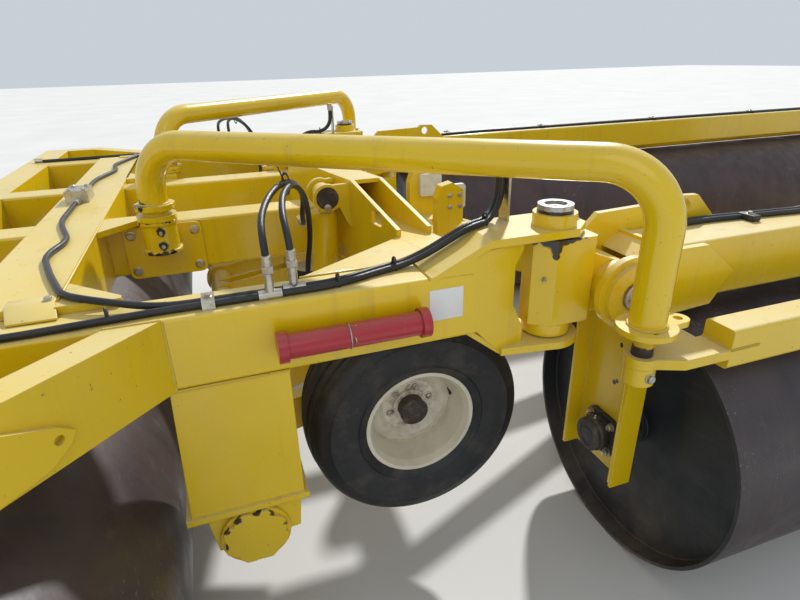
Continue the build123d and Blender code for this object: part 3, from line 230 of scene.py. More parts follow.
# Colours that several finishes share
DUST = (0.60, 0.55, 0.38)
GREASE = (0.022, 0.013, 0.009)
SOIL = (0.17, 0.10, 0.06)
RUST = (0.16, 0.055, 0.022)
RUNS = (0.30, 0.20, 0.05)
BRIGHT_STEEL = (0.56, 0.57, 0.58)
GREY_STEEL = (0.34, 0.33, 0.32)
YELLOW = (0.78, 0.535, 0.003)
YELLOW_SHADE = (0.70, 0.475, 0.003)


def stained(tree, where, body, blots, bands):
    """Old grease, alike on both sides: (x, y, z, radius) blots and bands between two heights in mm."""
    part = axes(tree, where)
    outward = count(tree, "ABSOLUTE", part["Y"])
    folded = step(tree, "ShaderNodeCombineXYZ", {0: part["X"], 1: outward, 2: part["Z"]}).outputs[0]
    ragged = times(tree, count(tree, "SUBTRACT", cloud(tree, where, 26, 6, 0.7), 0.5), 0.11)
    for x, y, z, radius in blots:
        ends = {0: folded, 1: tuple(at(x, y, z))}
        reach = step(tree, "ShaderNodeVectorMath", ends, operation="DISTANCE").outputs["Value"]
        reach = count(tree, "ADD", reach, times(tree, ragged, 0.25))
        body = over(tree, between(tree, reach, radius / 1000, radius / 1250), body, GREASE)
    lift = count(tree, "ADD", part["Z"], ragged)
    for low, high in bands:
        share = times(tree, between(tree, lift, (low - 2) / 1000, low / 1000),
                      between(tree, lift, (high + 2) / 1000, high / 1000))
        body = over(tree, share, body, GREASE)
    return body


def worn_bare(tree, shader, where, body, height):
    """Bare steel above a height in mm, with a greasy rim under it."""
    ragged = times(tree, cloud(tree, where, 60, 5, 0.7), 0.010)
    high = count(tree, "ADD", axes(tree, where)["Z"], ragged)
    rim = between(tree, high, (height - 13) / 1000, (height - 10) / 1000)
    worn = between(tree, high, (height + 4) / 1000, (height + 6) / 1000)
    steel = over(tree, cloud(tree, where, 70, 5), BRIGHT_STEEL, GREY_STEEL)
    tree.links.new(times(tree, worn, 0.7), shader.inputs["Metallic"])
    return over(tree, worn, over(tree, rim, body, GREASE), steel)


def enamel(name, colour, shade, dust=0.55, chip=0.6, gloss=0.24, smear=0.12,
           blots=(), bands=(), bare_above=None):
    """Gloss enamel on plate and tube: settled dust on top, soil specks, chipped and rusty edges."""
    mat, tree, shader = finish(name, gloss, coat=0.4)
    where = place(tree)
    soft, edge = rounded(tree, 0.004)
    body = over(tree, between(tree, cloud(tree, where, 1.3, 3), 0.35, 0.68), colour, shade)
    up = between(tree, axes(tree, facing(tree))["Z"], 0.5, 0.95)
    film = times(tree, up, between(tree, cloud(tree, where, 5.5, 7, 0.68), 0.30, 0.70, 0.45, 1.0))
    dabs = between(tree, cloud(tree, place(tree, (1, 1, 0.45)), 3.1, 6, 0.7), 0.50, 0.82, 0.0, smear)
    grey = count(tree, "MAXIMUM", times(tree, film, dust), dabs)
    body = over(tree, grey, body, DUST)
    runs = between(tree, cloud(tree, place(tree, (17, 17, 0.9)), 1.0, 3), 0.58, 0.80, 0.0, 0.30)
    body = over(tree, runs, body, RUNS)
    specks = between(tree, cloud(tree, where, 85, 2, 0.6), 0.715, 0.75, 0.0, 0.8)
    body = over(tree, specks, body, SOIL)
    nicks = times(tree, edge, between(tree, cloud(tree, where, 24, 5, 0.7), 0.60, 0.66))
    body = over(tree, times(tree, nicks, chip), body, RUST)
    rough = between(tree, count(tree, "ADD", grey, nicks), 0.0, 0.8, gloss, 0.78)
    if blots or bands:
        body = stained(tree, where, body, blots, bands)
    if bare_above:
        body = worn_bare(tree, shader, where, body, bare_above)
    skin = count(tree, "ADD", times(tree, cloud(tree, where, 210, 2), 0.35), specks)
    return wear(mat, tree, shader, body, rough, relief(tree, skin, 0.0006, soft))


def around(x, y, z, radius):
    """Places in mm round the upper half of a cap that faces sideways."""
    return [(x + radius * math.cos(math.radians(a)), y, z + radius * math.sin(math.radians(a)))
            for a in (15, 52, 84, 118, 150, 186)]


def drum_paint(name, axis, y, dark=(0.034, 0.028, 0.032), light=(0.062, 0.043, 0.043)):
    """Worn black paint on a drum: smooth scuffed end plates, brown polished shell with dried soil."""
    mat, tree, shader = finish(name, 0.42)
    reach = off_axis(tree, axis, at(0, y, DRUM_R))
    shell = between(tree, reach, (DRUM_R - 1.9) / 1000, (DRUM_R - 0.9) / 1000)
    where = place(tree)
    soft, edge = rounded(tree, 0.003)
    tone = between(tree, cloud(tree, where, 2.4, 5), 0.35, 0.70)
    plate = over(tree, tone, (0.012, 0.016, 0.020), (0.026, 0.029, 0.034))
    scuff = between(tree, cloud(tree, place(tree, (3, 3, 14)), 2.6, 6, 0.7), 0.56, 0.72, 0.0, 0.28)
    plate = over(tree, scuff, plate, (0.085, 0.078, 0.075))
    brown = over(tree, between(tree, cloud(tree, where, 3.5, 6, 0.6), 0.34, 0.66), dark, light)
    lines = (0.35, 26, 0.35) if axis == "Y" else (26, 0.35, 0.35)
    band = between(tree, cloud(tree, place(tree, lines), 1.4, 4, 0.7), 0.50, 0.74, 0.0, 0.5)
    brown = over(tree, band, brown, (0.060, 0.052, 0.056))
    soil = between(tree, cloud(tree, where, 7.5, 8, 0.72), 0.61, 0.71, 0.0, 0.40)
    brown = over(tree, soil, brown, (0.15, 0.105, 0.08))
    patch = between(tree, cloud(tree, place(tree, shift=(3, 1, 2)), 2.6, 4, 0.6), 0.56, 0.66)
    nicks = between(tree, cloud(tree, place(tree, (130, 60, 130)), 1.0, 3, 0.6), 0.62, 0.70)
    nicks = times(tree, patch, nicks)
    brown = over(tree, times(tree, nicks, 0.7), brown, (0.33, 0.31, 0.30))
    body = over(tree, shell, plate, brown)
    body = over(tree, times(tree, edge, 0.55), body, (0.17, 0.11, 0.08))
    low = between(tree, axes(tree, where)["Z"], 0.42, 0.02)
    dusty = times(tree, low, between(tree, cloud(tree, where, 4.0, 6, 0.65), 0.38, 0.70, 0.1, 0.6))
    body = over(tree, dusty, body, (0.27, 0.21, 0.15))
    rough = between(tree, cloud(tree, where, 9, 5), 0.3, 0.7, 0.34, 0.62)
    skin = count(tree, "ADD", times(tree, cloud(tree, where, 60, 4), 0.5), soil)
    return wear(mat, tree, shader, body, rough, relief(tree, skin, 0.0012, soft))


def rubber(name, dust=0.5, grain=120, rough=0.55):
    """Black rubber with a film of dried soil."""
    mat, tree, shader = finish(name, 0.75)
    where = place(tree)
    tone = between(tree, cloud(tree, where, 9, 5), 0.35, 0.7)
    body = over(tree, tone, (0.007, 0.008, 0.010), (0.018, 0.018, 0.020))
    film = between(tree, cloud(tree, where, 9.5, 8, 0.72), 0.48, 0.78, 0.0, dust)
    body = over(tree, film, body, (0.20, 0.165, 0.125))
    rough = between(tree, film, 0.0, 0.5, rough, 0.9)
    return wear(mat, tree, shader, body, rough, relief(tree, cloud(tree, where, grain, 3), 0.0008))


def rim_enamel(name):
    """Cream wheel enamel, dusty, with rust bleeding from the hub and the bolts."""
    mat, tree, shader = finish(name, 0.35, coat=0.2)
    where = place(tree)
    soft, edge = rounded(tree, 0.003)
    tone = between(tree, cloud(tree, where, 6, 4), 0.3, 0.7)
    body = over(tree, tone, (0.74, 0.69, 0.55), (0.62, 0.57, 0.44))
    near_hub = between(tree, off_axis(tree, "Y", at(*WHEEL)), 0.15, 0.06)
    bleed = times(tree, near_hub, between(tree, cloud(tree, where, 38, 6, 0.7), 0.46, 0.66))
    body = over(tree, times(tree, bleed, 0.85), body, (0.24, 0.13, 0.06))
    dust = between(tree, cloud(tree, where, 11, 7, 0.7), 0.50, 0.78, 0.0, 0.40)
    body = over(tree, dust, body, (0.40, 0.34, 0.25))
    nicks = times(tree, edge, between(tree, cloud(tree, where, 40, 4, 0.7), 0.55, 0.62))
    body = over(tree, nicks, body, RUST)
    rough = between(tree, dust, 0.0, 0.5, 0.33, 0.75)
    return wear(mat, tree, shader, body, rough, relief(tree, cloud(tree, where, 150, 3), 0.0005, soft))


def kept_enamel(tree, where, body):
    """Enamel on the top of the brace's pin over a dark worn foot, and the share that they cover."""
    inner = (BRACE_PIN[1] - 60) / 1000
    outer = count(tree, "GREATER_THAN", count(tree, "ABSOLUTE", axes(tree, where)["Y"]), inner)
    ragged = times(tree, cloud(tree, where, 40, 5, 0.7), 0.03)
    lift = count(tree, "ADD", axes(tree, where)["Z"], ragged)
    share = between(tree, lift, 1.128, 1.132)
    kept = over(tree, share, (0.040, 0.020, 0.013), (0.62, 0.41, 0.008))
    return over(tree, outer, body, kept), outer


def bare_steel(name, rust=0.6, colour=(0.42, 0.40, 0.38), metal=0.85, rough=0.38, painted_pin=False):
    """Uncoated steel, more or less rusty."""
    mat, tree, shader = finish(name, rough, metal)
    where = place(tree)
    soft = rounded(tree, 0.0015)[0]
    brown = between(tree, cloud(tree, where, 34, 7, 0.72), 0.62 - rust * 0.26, 0.74 - rust * 0.18)
    scale = over(tree, cloud(tree, where, 90, 4), (0.10, 0.035, 0.015), (0.27, 0.11, 0.045))
    body = over(tree, brown, colour, scale)
    shine = between(tree, brown, 0, 1, metal, 0.1)
    if painted_pin:
        body, painted = kept_enamel(tree, where, body)
        shine = times(tree, shine, count(tree, "SUBTRACT", 1.0, painted))
    tree.links.new(shine, shader.inputs["Metallic"])
    return wear(mat, tree, shader, body, between(tree, brown, 0, 1, rough, 0.85),
                relief(tree, cloud(tree, where, 240, 4), 0.0005, soft))


def zinc(name):
    """Zinc plating with grime in its hollows."""
    mat, tree, shader = finish(name, 0.36, 0.9)
    where = place(tree)
    tone = between(tree, cloud(tree, where, 30, 5), 0.35, 0.7)
    body = over(tree, tone, (0.60, 0.57, 0.50), (0.42, 0.39, 0.32))
    grime = between(tree, cloud(tree, where, 70, 6, 0.7), 0.56, 0.72, 0.0, 0.7)
    body = over(tree, grime, body, (0.20, 0.15, 0.10))
    return wear(mat, tree, shader, body, between(tree, grime, 0, 0.7, 0.32, 0.75),
                relief(tree, cloud(tree, where, 300, 3), 0.0003))


def dull(name, colour, other, rough, dust=0.4, scale=20, depth=0.0005):
    """Cast, moulded or lightly worn plain surfaces."""
    mat, tree, shader = finish(name, rough)
    where = place(tree)
    soft, edge = rounded(tree, 0.002)
    body = over(tree, between(tree, cloud(tree, where, scale, 5), 0.34, 0.68), colour, other)
    film = between(tree, cloud(tree, where, scale * 0.6, 7, 0.7), 0.48, 0.76, 0.0, dust)
    body = over(tree, film, body, (0.30, 0.24, 0.17))
    body = over(tree, times(tree, edge, 0.3), body, (0.22, 0.15, 0.10))
    return wear(mat, tree, shader, body, between(tree, film, 0, 0.5, rough, 0.85),
                relief(tree, cloud(tree, where, scale * 8, 4), depth, soft))


def floor():
    """Plain pale floor."""
    mat, tree, shader = finish("floor_pale", 0.9)
    where = place(tree)
    tone = between(tree, cloud(tree, where, 0.6, 5), 0.3, 0.7)
    pale = over(tree, tone, (0.60, 0.59, 0.56), (0.66, 0.65, 0.62))
    tree.links.new(pale, shader.inputs["Base Color"])
    bpy.ops.object.select_all(action="DESELECT")
    bpy.ops.mesh.primitive_plane_add(size=120, location=(0, 0, -0.002))
    plane = bpy.context.object
    plane.name = "floor"
    plane.data.materials.append(mat)


def light():
    """Even pale sky with one soft sun and a weak fill."""
    world = bpy.data.worlds.new("sky")
    bpy.context.scene.world = world
    world.use_nodes = True
    sky = world.node_tree.nodes["Background"]
    sky.inputs["Color"].default_value = (0.86, 0.92, 1.0, 1)
    sky.inputs["Strength"].default_value = 0.68
    lamps = (("sun", 3.4, 2.5, (-38, 34, 0)), ("fill", 0.3, 40, (50, -20, 0)))
    for name, energy, angle, turn in lamps:
        data = bpy.data.lights.new(name, "SUN")
        data.energy = energy
        data.angle = math.radians(angle)
        lamp = bpy.data.objects.new(name, data)
        bpy.context.scene.collection.objects.link(lamp)
        lamp.rotation_euler = Euler([math.radians(a) for a in turn])


# Modelling steps
def bare():
    """Object mode with nothing selected."""
    if bpy.context.mode != "OBJECT":
        bpy.ops.object.mode_set(mode="OBJECT")
    bpy.ops.object.select_all(action="DESELECT")


def take(obj):
    """One piece selected and active."""
    bare()
    obj.select_set(True)
    bpy.context.view_layer.objects.active = obj
    return obj


def point_up(direction):
    """Turn that lays the upward axis along a direction."""
    return Vector(direction).to_track_quat("Z", "Y").to_matrix().to_4x4()


def put(obj, where, direction=(0, 0, 1), spin=0.0):
    """Moves the mesh of a piece modelled on the origin to its place, its top along a direction."""
    turn = Matrix.Rotation(math.radians(spin), 4, "Z")
    obj.data.transform(Matrix.Translation(where) @ point_up(direction) @ turn)
    return obj


def turned(name, steps, sides=24, shell=False):
    """A round piece drawn up from a circle by (radius, height) steps in mm; a shell closes up."""
    bare()
    r, h = steps[0]
    fill = "NOTHING" if shell else "NGON"
    bpy.ops.mesh.primitive_circle_add(vertices=sides, radius=r / 1000, fill_type=fill,
                                      location=(0, 0, h / 1000))
    obj = bpy.context.object
    obj.name = name
    bpy.ops.object.transform_apply(location=True, rotation=True, scale=True)
    bpy.ops.object.mode_set(mode="EDIT")
    bpy.ops.mesh.select_all(action="SELECT")
    for radius, height in steps[1:] + ([steps[0]] if shell else []):
        rise = (0, 0, (height - h) / 1000)
        bpy.ops.mesh.extrude_region_move(TRANSFORM_OT_translate={"value": rise})
        grow = radius / r
        bpy.ops.transform.resize(value=(grow, grow, 1), center_override=(0, 0, height / 1000))
        r, h = radius, height
    bpy.ops.mesh.select_all(action="SELECT")
    if shell:
        bpy.ops.mesh.remove_doubles(threshold=0.00002)
    bpy.ops.mesh.normals_make_consistent(inside=False)
    bpy.ops.object.mode_set(mode="OBJECT")
    return obj


def bar(name, low, high, soften=2.0):
    """A bar or plate between two corners in mm, its edges rounded off."""
    bare()
    middle = [(a + b) / 2 for a, b in zip(low, high)]
    size = [abs(b - a) / 1000 for a, b in zip(low, high)]
    bpy.ops.mesh.primitive_cube_add(size=1, location=at(*middle))
    obj = bpy.context.object
    obj.name = name
    obj.scale = size
    bpy.ops.object.transform_apply(location=True, rotation=True, scale=True)
    bpy.ops.object.mode_set(mode="EDIT")
    bpy.ops.mesh.select_all(action="SELECT")
    bpy.ops.mesh.bevel(offset=min(soften / 1000, min(size) * 0.45), segments=2)
    bpy.ops.object.mode_set(mode="OBJECT")
    return obj


def ring(name, radius, thick, sides=32, section=8, stretch=None):
    """A round wire ring on the origin, its radius and thickness in mm, stretched if asked."""
    bare()
    bpy.ops.mesh.primitive_torus_add(major_segments=sides, minor_segments=section,
                                     major_radius=radius / 1000, minor_radius=thick / 1000,
                                     location=(0, 0, 0))
    obj = bpy.context.object
    obj.name = name
    if stretch:
        take(obj)
        bpy.ops.object.mode_set(mode="EDIT")
        bpy.ops.mesh.select_all(action="SELECT")
        bpy.ops.transform.resize(value=stretch, center_override=(0, 0, 0))
        bpy.ops.object.mode_set(mode="OBJECT")
    return obj


def merge(name, parts):
    """Joins pieces into the first one."""
    bare()
    for obj in parts:
        obj.select_set(True)
    bpy.context.view_layer.objects.active = parts[0]
    if len(parts) > 1:
        bpy.ops.object.join()
    made = bpy.context.view_layer.objects.active
    made.name = name
    return made


def ready(obj, body, paint, smooth=38):
    """Finishes a piece: smooth faces up to an angle, paint, slot, and the body that it rides on."""
    take(obj)
    bpy.ops.object.transform_apply(location=True, rotation=True, scale=True)
    bpy.ops.object.shade_smooth_by_angle(angle=math.radians(smooth))
    obj.data.materials.clear()
    obj.data.materials.append(paint)
    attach(obj, body)
    return obj


def copy_of(pattern, where, direction, size=1.0, spin=0.0):
    """A copy with its own mesh, sized, put in its place and turned along a direction."""
    made = pattern.copy()
    made.data = pattern.data.copy()
    bpy.context.scene.collection.objects.link(made)
    made.data.transform(Matrix.Scale(size, 4))
    return put(made, where, direction, spin)


def mirrored(spot, s):
    """A place, direction or line given for the left side, on the side s of the machine."""
    if isinstance(spot[0], tuple):
        return tuple(mirrored(part, s) for part in spot)
    x, y, z = spot
    return x, s * y, z


# Each fastener in a row is turned by this much from the last, in degrees
NUT_TURN = 37.0
patterns = {}


def washer():
    """Flat washer on the origin."""
    return turned("washer", [(16, 0), (17.5, 0.6), (17.5, 2.4), (16.5, 3)], 20)


def fastener_patterns():
    """Bolt head on its washer, nut with its stud, and grease nipple, each on the origin."""
    head = turned("bolt_head", [(11.5, 3), (13.8, 3), (13.8, 11.5), (11.8, 13)], 6)
    patterns["bolt"] = merge("pattern_bolt", [washer(), head])
    nut = turned("nut_hex", [(11.8, 3), (13.8, 4.2), (13.8, 15), (11.8, 16.5)], 6)
    stud = turned("stud", [(8, 0), (8, 23), (6.6, 25)], 12)
    patterns["nut"] = merge("pattern_nut", [washer(), nut, stud])
    base = turned("nipple_hex", [(5.4, 0), (6.4, 0.6), (6.4, 5), (5.2, 6)], 6)
    tip = turned("nipple_tip", [(3.2, 5), (3.2, 10), (4.2, 11.5), (4.2, 14), (2.0, 17)], 12)
    patterns["nipple"] = merge("pattern_nipple", [base, tip])


def fasten(name, kind, body, places, paint, size=1.0):
    """Copies of a fastener at (x, y, z) places in mm, each with the direction that its head points."""
    made = [copy_of(patterns[kind], at(*spot), way, size, NUT_TURN * i)
            for i, (spot, way) in enumerate(places)]
    return ready(merge(name, made), body, paint)


# Half width of the weld beads on plate, in mm
BEAD = 4.6


def seam(start, end, size):
    """A weld bead along a corner, from laid drops like a row of short cones."""
    start, end = at(*start), at(*end)
    run = end - start
    pitch = size * 1.25 / 1000
    drops = max(2, int(run.length / pitch))
    bare()
    bpy.ops.mesh.primitive_cone_add(vertices=8, radius1=size / 1000, radius2=size * 0.72 / 1000,
                                    depth=pitch * 1.05, location=(0, 0, pitch / 2))
    obj = bpy.context.object
    bpy.ops.object.transform_apply(location=True, rotation=True, scale=True)
    row = obj.modifiers.new("row", "ARRAY")
    row.count = drops
    row.use_relative_offset = False
    row.use_constant_offset = True
    row.constant_offset_displace = (0, 0, run.length / drops)
    bpy.ops.object.modifier_apply(modifier="row")
    return put(obj, start, run)


def weld(name, body, lines, paint):
    """Weld beads along several corners as one piece."""
    return ready(merge(name, [seam(a, b, BEAD) for a, b in lines]), body, paint, 60)


# Lift hoses, from the tee on the left rail to the cylinder's port, and where they start and end to bend
HOSE_ROUTES = {
    "upper": [(866, 1364, 1384.8), (866, 1364, 1432.8), (865, 1342, 1478), (872, 1285, 1510),
              (905, 1190, 1538), (953, 1085, 1549), (1003, 980, 1534), (1043, 880, 1486),
              (1063, 800, 1430), (1062, 745, 1366), (1068, 708, 1326), (1074.3, 668.3, 1303.4),
              (1074.3, 624.3, 1303.4)],
    "lower": [(932, 1340, 1384.8), (932, 1340, 1432.8), (930, 1319, 1474), (930, 1262, 1512),
              (948, 1172, 1540), (992, 1070, 1546), (1039, 960, 1492), (1064, 880, 1400),
              (1070, 825, 1290), (1056, 803, 1190), (1046, 800, 1080), (1045, 785, 968),
              (1048, 750, 908), (1051.2, 694.3, 874.1), (1051.2, 624.3, 874.1)],
}


def lift_hose(which, side, paint):
    """Free hose from the tee on the rail to the cylinder's port, on one smooth line."""
    way = SIDES[side]
    route = [at(*mirrored(spot, way)) for spot in HOSE_ROUTES[which]]
    data = bpy.data.curves.new(f"hose_{which}_{side}", "CURVE")
    data.dimensions = "3D"
    line = data.splines.new("NURBS")
    line.points.add(len(route) - 1)
    for point, spot in zip(line.points, route):
        point.co = (*spot, 1)
    line.order_u = 3
    line.use_endpoint_u = True
    line.resolution_u = 8
    obj = bpy.data.objects.new(f"hose_{which}_{side}", data)
    bpy.context.scene.collection.objects.link(obj)
    bpy.context.view_layer.update()
    drawn = bpy.data.meshes.new_from_object(obj)
    data.bevel_depth = HOSE_R / 1000
    data.bevel_resolution = 4
    data.use_fill_caps = True
    take(obj)
    bpy.ops.object.convert(target="MESH")
    obj = bpy.context.object
    obj.name = f"hose_{which}_{side}"
    bpy.ops.object.shade_smooth_by_angle(angle=math.radians(50))
    obj.data.materials.clear()
    obj.data.materials.append(paint)
    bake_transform(obj)
    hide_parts(f"lift_hose_{which}_{side}")


# Half of the tyre's section from its bead to the middle of its tread: radius and place across
TYRE_WALL = [(190, -106), (200, -122), (206, -129), (226, -138), (231, -143), (236, -139),
             (262, -146.5), (300, -148), (328, -145), (333, -147), (338, -142), (362, -135),
             (376, -126), (384, -112), (388, -98), (380, -94), (379, -84), (391, -80), (395, -55),
             (386, -52), (385, -42), (398, -38), (400, -12)]


def ribbed_tyre(side):
    """Tyre with ribs and grooves round it and raised rings on its walls."""
    profile = TYRE_WALL + [(r, -h) for r, h in reversed(TYRE_WALL)]
    obj = turned(f"tyre_{side}", profile, 96, shell=True)
    put(obj, at(WHEEL[0], SIDES[side] * WHEEL[1], WHEEL[2]), (0, 1, 0))
    ready(obj, f"wheel_{side}", paints["tyre"], 30)
    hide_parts(f"wheel_tyre_{side}")


def wheel_trim(side):
    """Six nuts, hub with its cap, and valve, on the wheel's outer face."""
    s = SIDES[side]
    x, y, z = WHEEL
    circle, first, number = 80, 14, 6
    nuts = []
    for i in range(number):
        a = math.radians(360 / number * i + first)
        nuts.append(((x + circle * math.cos(a), s * y, z + circle * math.sin(a)), (0, s, 0)))
    fasten(f"wheel_nuts_{side}", "nut", f"wheel_{side}", nuts, paints["bolt"], size=0.86)
    cap = turned(f"hub_{side}", [(56, 0), (60, 2), (60, 8), (57, 11), (50, 13), (50, 48), (53, 50),
                                 (53, 58), (49, 62), (30, 65), (27, 67), (12, 68)], 40)
    put(cap, at(x, s * y, z), (0, s, 0))
    ready(cap, f"wheel_{side}", paints["hub"])
    stem = turned(f"valve_{side}", [(6, -8), (6, 4), (4.2, 8), (4.2, 30), (5.2, 31), (5.2, 40),
                                    (3.5, 42)], 12)
    put(stem, at(x + 158, s * (y + 6), z + 38), (-0.25, s, -0.06))
    ready(stem, f"wheel_{side}", paints["tie"])


def flange_bolts(name, body, middle, way):
    """Four bolts on a flange bearing, with its grease nipple and the raised ring of its cap."""
    x, y, z = middle
    off = 57
    spots = []
    for a in (-off, off):
        for b in (-off, off):
            spots.append(((x, y + a, z + b) if way[0] else (x + a, y, z + b), way))
    fasten(f"{name}_bolts", "nut", body, spots, paints["bolt"], size=0.95)
    cap = turned(f"{name}_ring", [(66, 20), (68, 22), (68, 36), (64, 40), (64, 54), (58, 60),
                                  (44, 60.5), (42, 57), (30, 57), (28, 60), (10, 60.5)], 40)
    put(cap, at(x, y, z), way)
    ready(cap, body, paints["bearing"])
    fasten(f"{name}_nipple", "nipple", body,
           [((x + way[0] * 30, y + way[1] * 30, z + 66), (0, 0, 1))], paints["bolt"])


def bearings():
    """Dress of the six flange bearings that carry the drums."""
    for side, s in SIDES.items():
        root = (ROOT_BEARING_X, s * WING_AXIS, DRUM_R)
        flange_bolts(f"root_bearing_{side}", f"wing_{side}", root, (-1, 0, 0))
        end = (END_BEARING_X, s * WING_AXIS, DRUM_R)
        flange_bolts(f"end_bearing_{side}", f"wing_{side}", end, (1, 0, 0))
        centre = (0, s * CENTRE_BEARING_Y, DRUM_R)
        flange_bolts(f"centre_bearing_{side}", "centre_frame", centre, (0, s, 0))


def hose_end(name, body, where, way):
    """Hex nut and crimped sleeve on the end of a hose."""
    nut = turned(name, [(14, -2), (16, 0), (16, 15), (14, 17)], 6)
    sleeve = turned("sleeve", [(12, 16), (13, 18), (13, 24), (12.2, 25), (12.2, 27), (13, 28),
                               (13, 34), (12.2, 35), (12.2, 37), (13, 38), (13, 44), (11, 46)], 20)
    obj = put(merge(name, [nut, sleeve]), at(*where), way)
    ready(obj, body, paints["bolt"])


def strap(name, body, where, along):
    """Cable tie round a pair of hoses, with its head on top."""
    band = put(ring(name, 12.4, 1.6, 28, 6, (1.0, 2.05, 2.4)), at(*where), along)
    x, y, z = where
    head = bar("tie_head", (x - 4, y - 5, z + 10), (x + 5, y + 6, z + 17))
    ready(merge(name, [band, head]), body, paints["tie"])


RAIL_TIES = [(1232, 1290, 1326), (1545, 1247, 1411.8), (1050, 1350, 1323), (480, 1358, 1323)]
WING_CLAMPS = (2560, 3405, 4547, 5700, 6640)


def hose_trim(side):
    """Nuts on the lift hoses' ends, ties on the rail and clamps on the wing."""
    s = SIDES[side]
    for which, route in HOSE_ROUTES.items():
        hose_end(f"{which}_hose_nut_{side}", "centre_frame", mirrored(route[0], s), (0, 0, 1))
    for which, route in HOSE_ROUTES.items():
        hose_end(f"{which}_port_nut_{side}", f"lift_barrel_{side}", mirrored(route[-1], s), (0, s, 0))
    for i, spot in enumerate(RAIL_TIES):
        strap(f"hose_tie_{i}_{side}", "centre_frame", mirrored(spot, s), (1, -0.12 * s, 0.03))
    top, half_long, half_wide = WING_TOP + 23, 19, 34
    low, high = s * (WING_AXIS - half_wide), s * (WING_AXIS + half_wide)
    for i, x in enumerate(WING_CLAMPS):
        clamp = bar(f"hose_clamp_{i}_{side}", (x - half_long, low, WING_TOP),
                    (x + half_long, high, top), 5)
        ready(clamp, f"wing_{side}", paints["tie"])
    fasten(f"hose_clamp_bolts_{side}", "bolt", f"wing_{side}",
           [((x, s * WING_AXIS, top), (0, 0, 1)) for x in WING_CLAMPS], paints["bolt"], size=0.62)
    fasten(f"rail_clamp_bolt_{side}", "bolt", "centre_frame",
           [((712, s * 1352, 1338.8), (0, 0, 1))], paints["bolt"], size=0.62)


def stop_trim(side):
    """Wire clip and its tail on the stored cylinder stop."""
    s = SIDES[side]
    x, y, z = mirrored(STORED_STOP, s)
    wire = 1.9
    clip = put(ring(f"stop_clip_{side}", 35.5, wire, 40, 8), at(x, y, z), (1, 0, 0))
    tail = turned("clip_tail", [(wire, 0), (wire, 46), (1.2, 48)], 8)
    put(tail, at(x + 1, y + s * 12, z + 33), (0.15, s, 0.5))
    eye = put(ring("clip_eye", 9, wire, 20, 8), at(x + 8, y + s * 34, z + 2), (1, 0.2, 0))
    ready(merge(f"stop_clip_{side}", [clip, tail, eye]), "centre_frame", paints["bolt"])


def bolts_on_plates(side):
    """Single bolts, nuts and nipples on the plates of one side."""
    s = SIDES[side]
    zinc_paint = paints["bolt"]
    out, up = (0, s, 0), (0, 0, 1)
    x, half_plate, plate_face, sleeve_face, post_face = BRACE_FOOT[0], 116, 463, 616, 230
    fasten(f"sleeve_plate_bolts_{side}", "bolt", "centre_frame",
           [((x + dx, s * plate_face, z), out) for dx in (-half_plate, half_plate) for z in (1130, 1274)],
           zinc_paint, size=1.05)
    fasten(f"sleeve_nipples_{side}", "nipple", "centre_frame",
           [((x + 8, s * sleeve_face, z), out) for z in (1314, 1262)], zinc_paint, size=1.25)
    fasten(f"fork_keeper_{side}", "bolt", "centre_frame", [((1832, s * 1300, 1400), up)], zinc_paint)
    fasten(f"block_nipple_{side}", "nipple", f"wing_hinge_{side}",
           [((1688, s * 1380, 1245), (-0.59, 0.81 * s, 0))], zinc_paint, size=1.3)
    fasten(f"float_nipple_{side}", "nipple", f"wing_{side}",
           [((FLOAT[0], s * FLOAT_END, FLOAT[1]), out)], zinc_paint, size=1.3)
    fasten(f"lift_pin_bolt_{side}", "bolt", "centre_frame",
           [((1176, s * 657, 1352), out)], zinc_paint, size=0.8)
    fasten(f"eye_bolt_{side}", "bolt", f"wing_{side}",
           [((BRACE_PIN[0], s * (BRACE_PIN[1] + 45), 1026), out)], zinc_paint, size=0.9)
    fasten(f"post_bolts_{side}", "nut", "tongue",
           [((x, s * post_face, z), out) for z in (1238, 1180) for x in (1886, 1940)],
           zinc_paint, size=0.7)


def frame_welds(side):
    """Weld beads where the tubes and plates of the centre frame meet."""
    face, inner, low, top = RAIL_FACE, RAIL_INNER, FRAME_BOTTOM, FRAME_TOP
    beam, beam_in = BEAM_FACES
    back, front, rear, leg, foot, bent = 122, 352, -178, 888, 683, 472.7
    upright = [(600, face), (bent, face), (front, inner), (back, inner), (rear, inner), (front, beam),
               (front, beam_in), (back, beam), (back, beam_in), (rear, beam), (rear, beam_in),
               (1392, inner), (1222, beam), (1190, beam_in)]
    lines = [((x, y, low), (x, y, top)) for x, y in upright]
    lines += [((bent, face, top), (600, face, top)),
              ((582, face, low), (leg, face, low)), ((582, inner, low), (leg, inner, low)),
              ((leg, inner, low), (leg, face, low)),
              ((564, face, foot), (leg, face, foot)), ((leg, inner, foot), (leg, face, foot)),
              ((1300, face, top), (1300, inner, top)),
              ((1495, face - 6, 1375), (1606, face - 22, 1375)),
              ((1495, inner + 4, 1375), (1606, inner + 22, 1375)),
              ((back, inner, top), (front, inner, top)),
              ((front, 469, 1335), (front, 1228, 1335)), ((back, beam, top), (back, inner, top)),
              ((-150, 1969, low), (-150, 1883, low)), ((150, 1969, low), (150, 1883, low)),
              ((-150, 1903, low), (150, 1903, low)), ((-136, 1903, 400), (-136, 1903, low)),
              ((136, 1903, 400), (136, 1903, low)),
              ((411, beam, 1305), (701, beam, 1305)), ((960, inner, top), (1392, inner, top))]
    lines = [mirrored(line, SIDES[side]) for line in lines]
    weld(f"frame_welds_{side}", "centre_frame", lines, paints["weld"])


